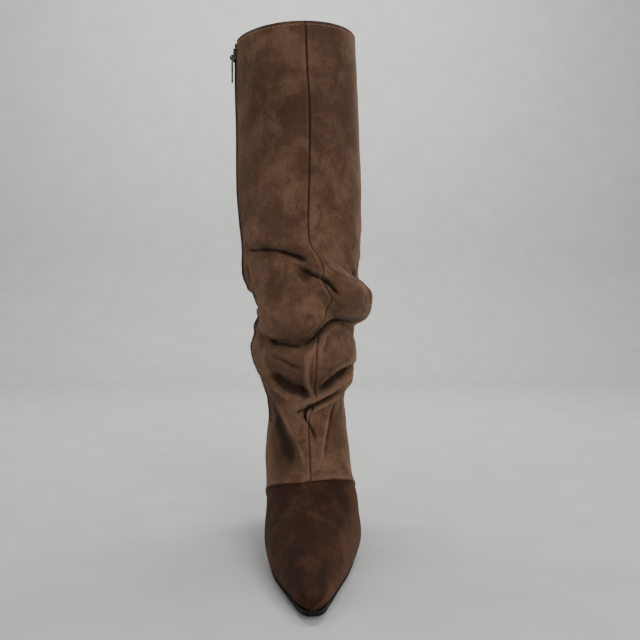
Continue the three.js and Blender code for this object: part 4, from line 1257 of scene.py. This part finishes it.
def make_collar_stitches():
    """A row of stitches under the collar's edge, evenly spaced round it."""
    row = ZIP_TOP_ROW - COLLAR_STITCH_DROP / SHAFT_HEIGHT
    fine = np.radians(np.linspace(SLOT_FRONT + 2, 360 + SLOT_REAR - 2, 2000))
    steps = np.linalg.norm(np.diff(boot_points(row, fine), axis=0), axis=1)
    length = np.concatenate([[0], np.cumsum(steps)])
    at = np.interp(np.arange(STITCH_PITCH / 2, length[-1], STITCH_PITCH), length, fine)
    here = boot_points(row, at)
    run = unit(boot_points(row, at + 0.01) - here)
    out = unit(np.cross(run, unit(boot_points(row + 0.004, at) - here)))
    stitches("stitches_collar", here + out * 0.12, run, out, THREAD)


def make_zip_stitches():
    """Stitch rows along both edges of the zip's slot, and one across its foot."""
    side = ZIP_OPENING / 2 + ZIP_STITCH_MARGIN
    foot = ZIP_FOOT - ZIP_STITCH_MARGIN
    z = np.arange(foot, ZIP_HEAD - 2, STITCH_PITCH)
    across = np.arange(STITCH_PITCH - side, side - STITCH_PITCH / 2, STITCH_PITCH)
    for name, height, forward in (
        ("stitches_zip_front", z, np.full(z.shape, side)),
        ("stitches_zip_back", z, np.full(z.shape, -side)),
        ("stitches_zip_foot", np.full(across.shape, foot), across),
    ):
        row = zip_row(height)
        angle = np.radians(slot_edge(row, ZIP_Y - forward))
        here = boot_points(row, angle)
        run = unit(np.gradient(here, axis=0))
        along = boot_points(row + 0.004, angle) - here
        around = boot_points(row, angle + 0.01) - here
        out = unit(np.cross(around, along))
        stitches(name, here + out * 0.2, run, out, ZIP_THREAD)


def dress_metal():
    for name in ("zip_slider", "zip_pull"):
        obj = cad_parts[name]
        paint(obj, GUNMETAL)
        add_bevel(obj, 0.22, 2, 40)
    paint(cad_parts["insole"], SOCK_LEATHER)


FLOOR_REACH = 3000
FLOOR_BEND = 500
BACKDROP_Y = 1900


def make_stage():
    """A pale floor that sweeps up into a backdrop."""
    profile = [(-FLOOR_REACH, 0)]
    for t in np.radians(np.arange(0, 91, 6)):
        profile.append((BACKDROP_Y - FLOOR_BEND * (1 - math.sin(t)), FLOOR_BEND * (1 - math.cos(t))))
    profile.append((BACKDROP_Y, FLOOR_REACH))
    points = [(x, y, z) for x in (-FLOOR_REACH, FLOOR_REACH) for y, z in profile]
    count = len(profile)
    faces = [(i, i + 1, count + i + 1, count + i) for i in range(count - 1)]
    obj = smooth(bare_object("backdrop", points, faces), 60)
    n = Nodes("pale_floor")
    color = n.mix(n.spread(n.noise(60, 3), 0.3, 0.7), rgb(0.41, 0.41, 0.405), rgb(0.44, 0.44, 0.435))
    obj.data.materials.append(n.finish(color, 0.85))


def add_light(name, place, target, size, power, color=(1, 1, 1)):
    data = bpy.data.lights.new(name, "AREA")
    data.shape = "RECTANGLE"
    data.size, data.size_y = size[0] * MM, size[1] * MM
    data.energy = power
    data.color = color
    obj = bpy.data.objects.new(name, data)
    obj.location = Vector(place) * MM
    obj.rotation_euler = (Vector(target) - Vector(place)).to_track_quat("-Z", "Y").to_euler()
    bpy.context.collection.objects.link(obj)


def light_scene():
    world = bpy.data.worlds.new("studio")
    world.use_nodes = True
    world.node_tree.nodes["Background"].inputs["Color"].default_value = rgb(0.95, 0.94, 0.92)
    world.node_tree.nodes["Background"].inputs["Strength"].default_value = 0.3
    bpy.context.scene.world = world
    add_light("key", (560, -1300, 640), (0, -40, 230), (700, 800), 20, (1.0, 0.985, 0.96))
    add_light("fill", (-1050, -900, 500), (0, -40, 220), (900, 1200), 7, (0.98, 0.98, 1.0))
    add_light("top", (400, 150, 1500), (160, 0, 0), (1200, 900), 7)
    add_light("backdrop_wash", (0, 500, 1900), (0, 1900, 500), (1800, 500), 60)


make_leg()
make_vamp()
make_sole()
make_heel()
make_tape()
make_teeth()
make_topline()
make_collar_stitches()
make_zip_stitches()
dress_metal()
make_stage()
light_scene()
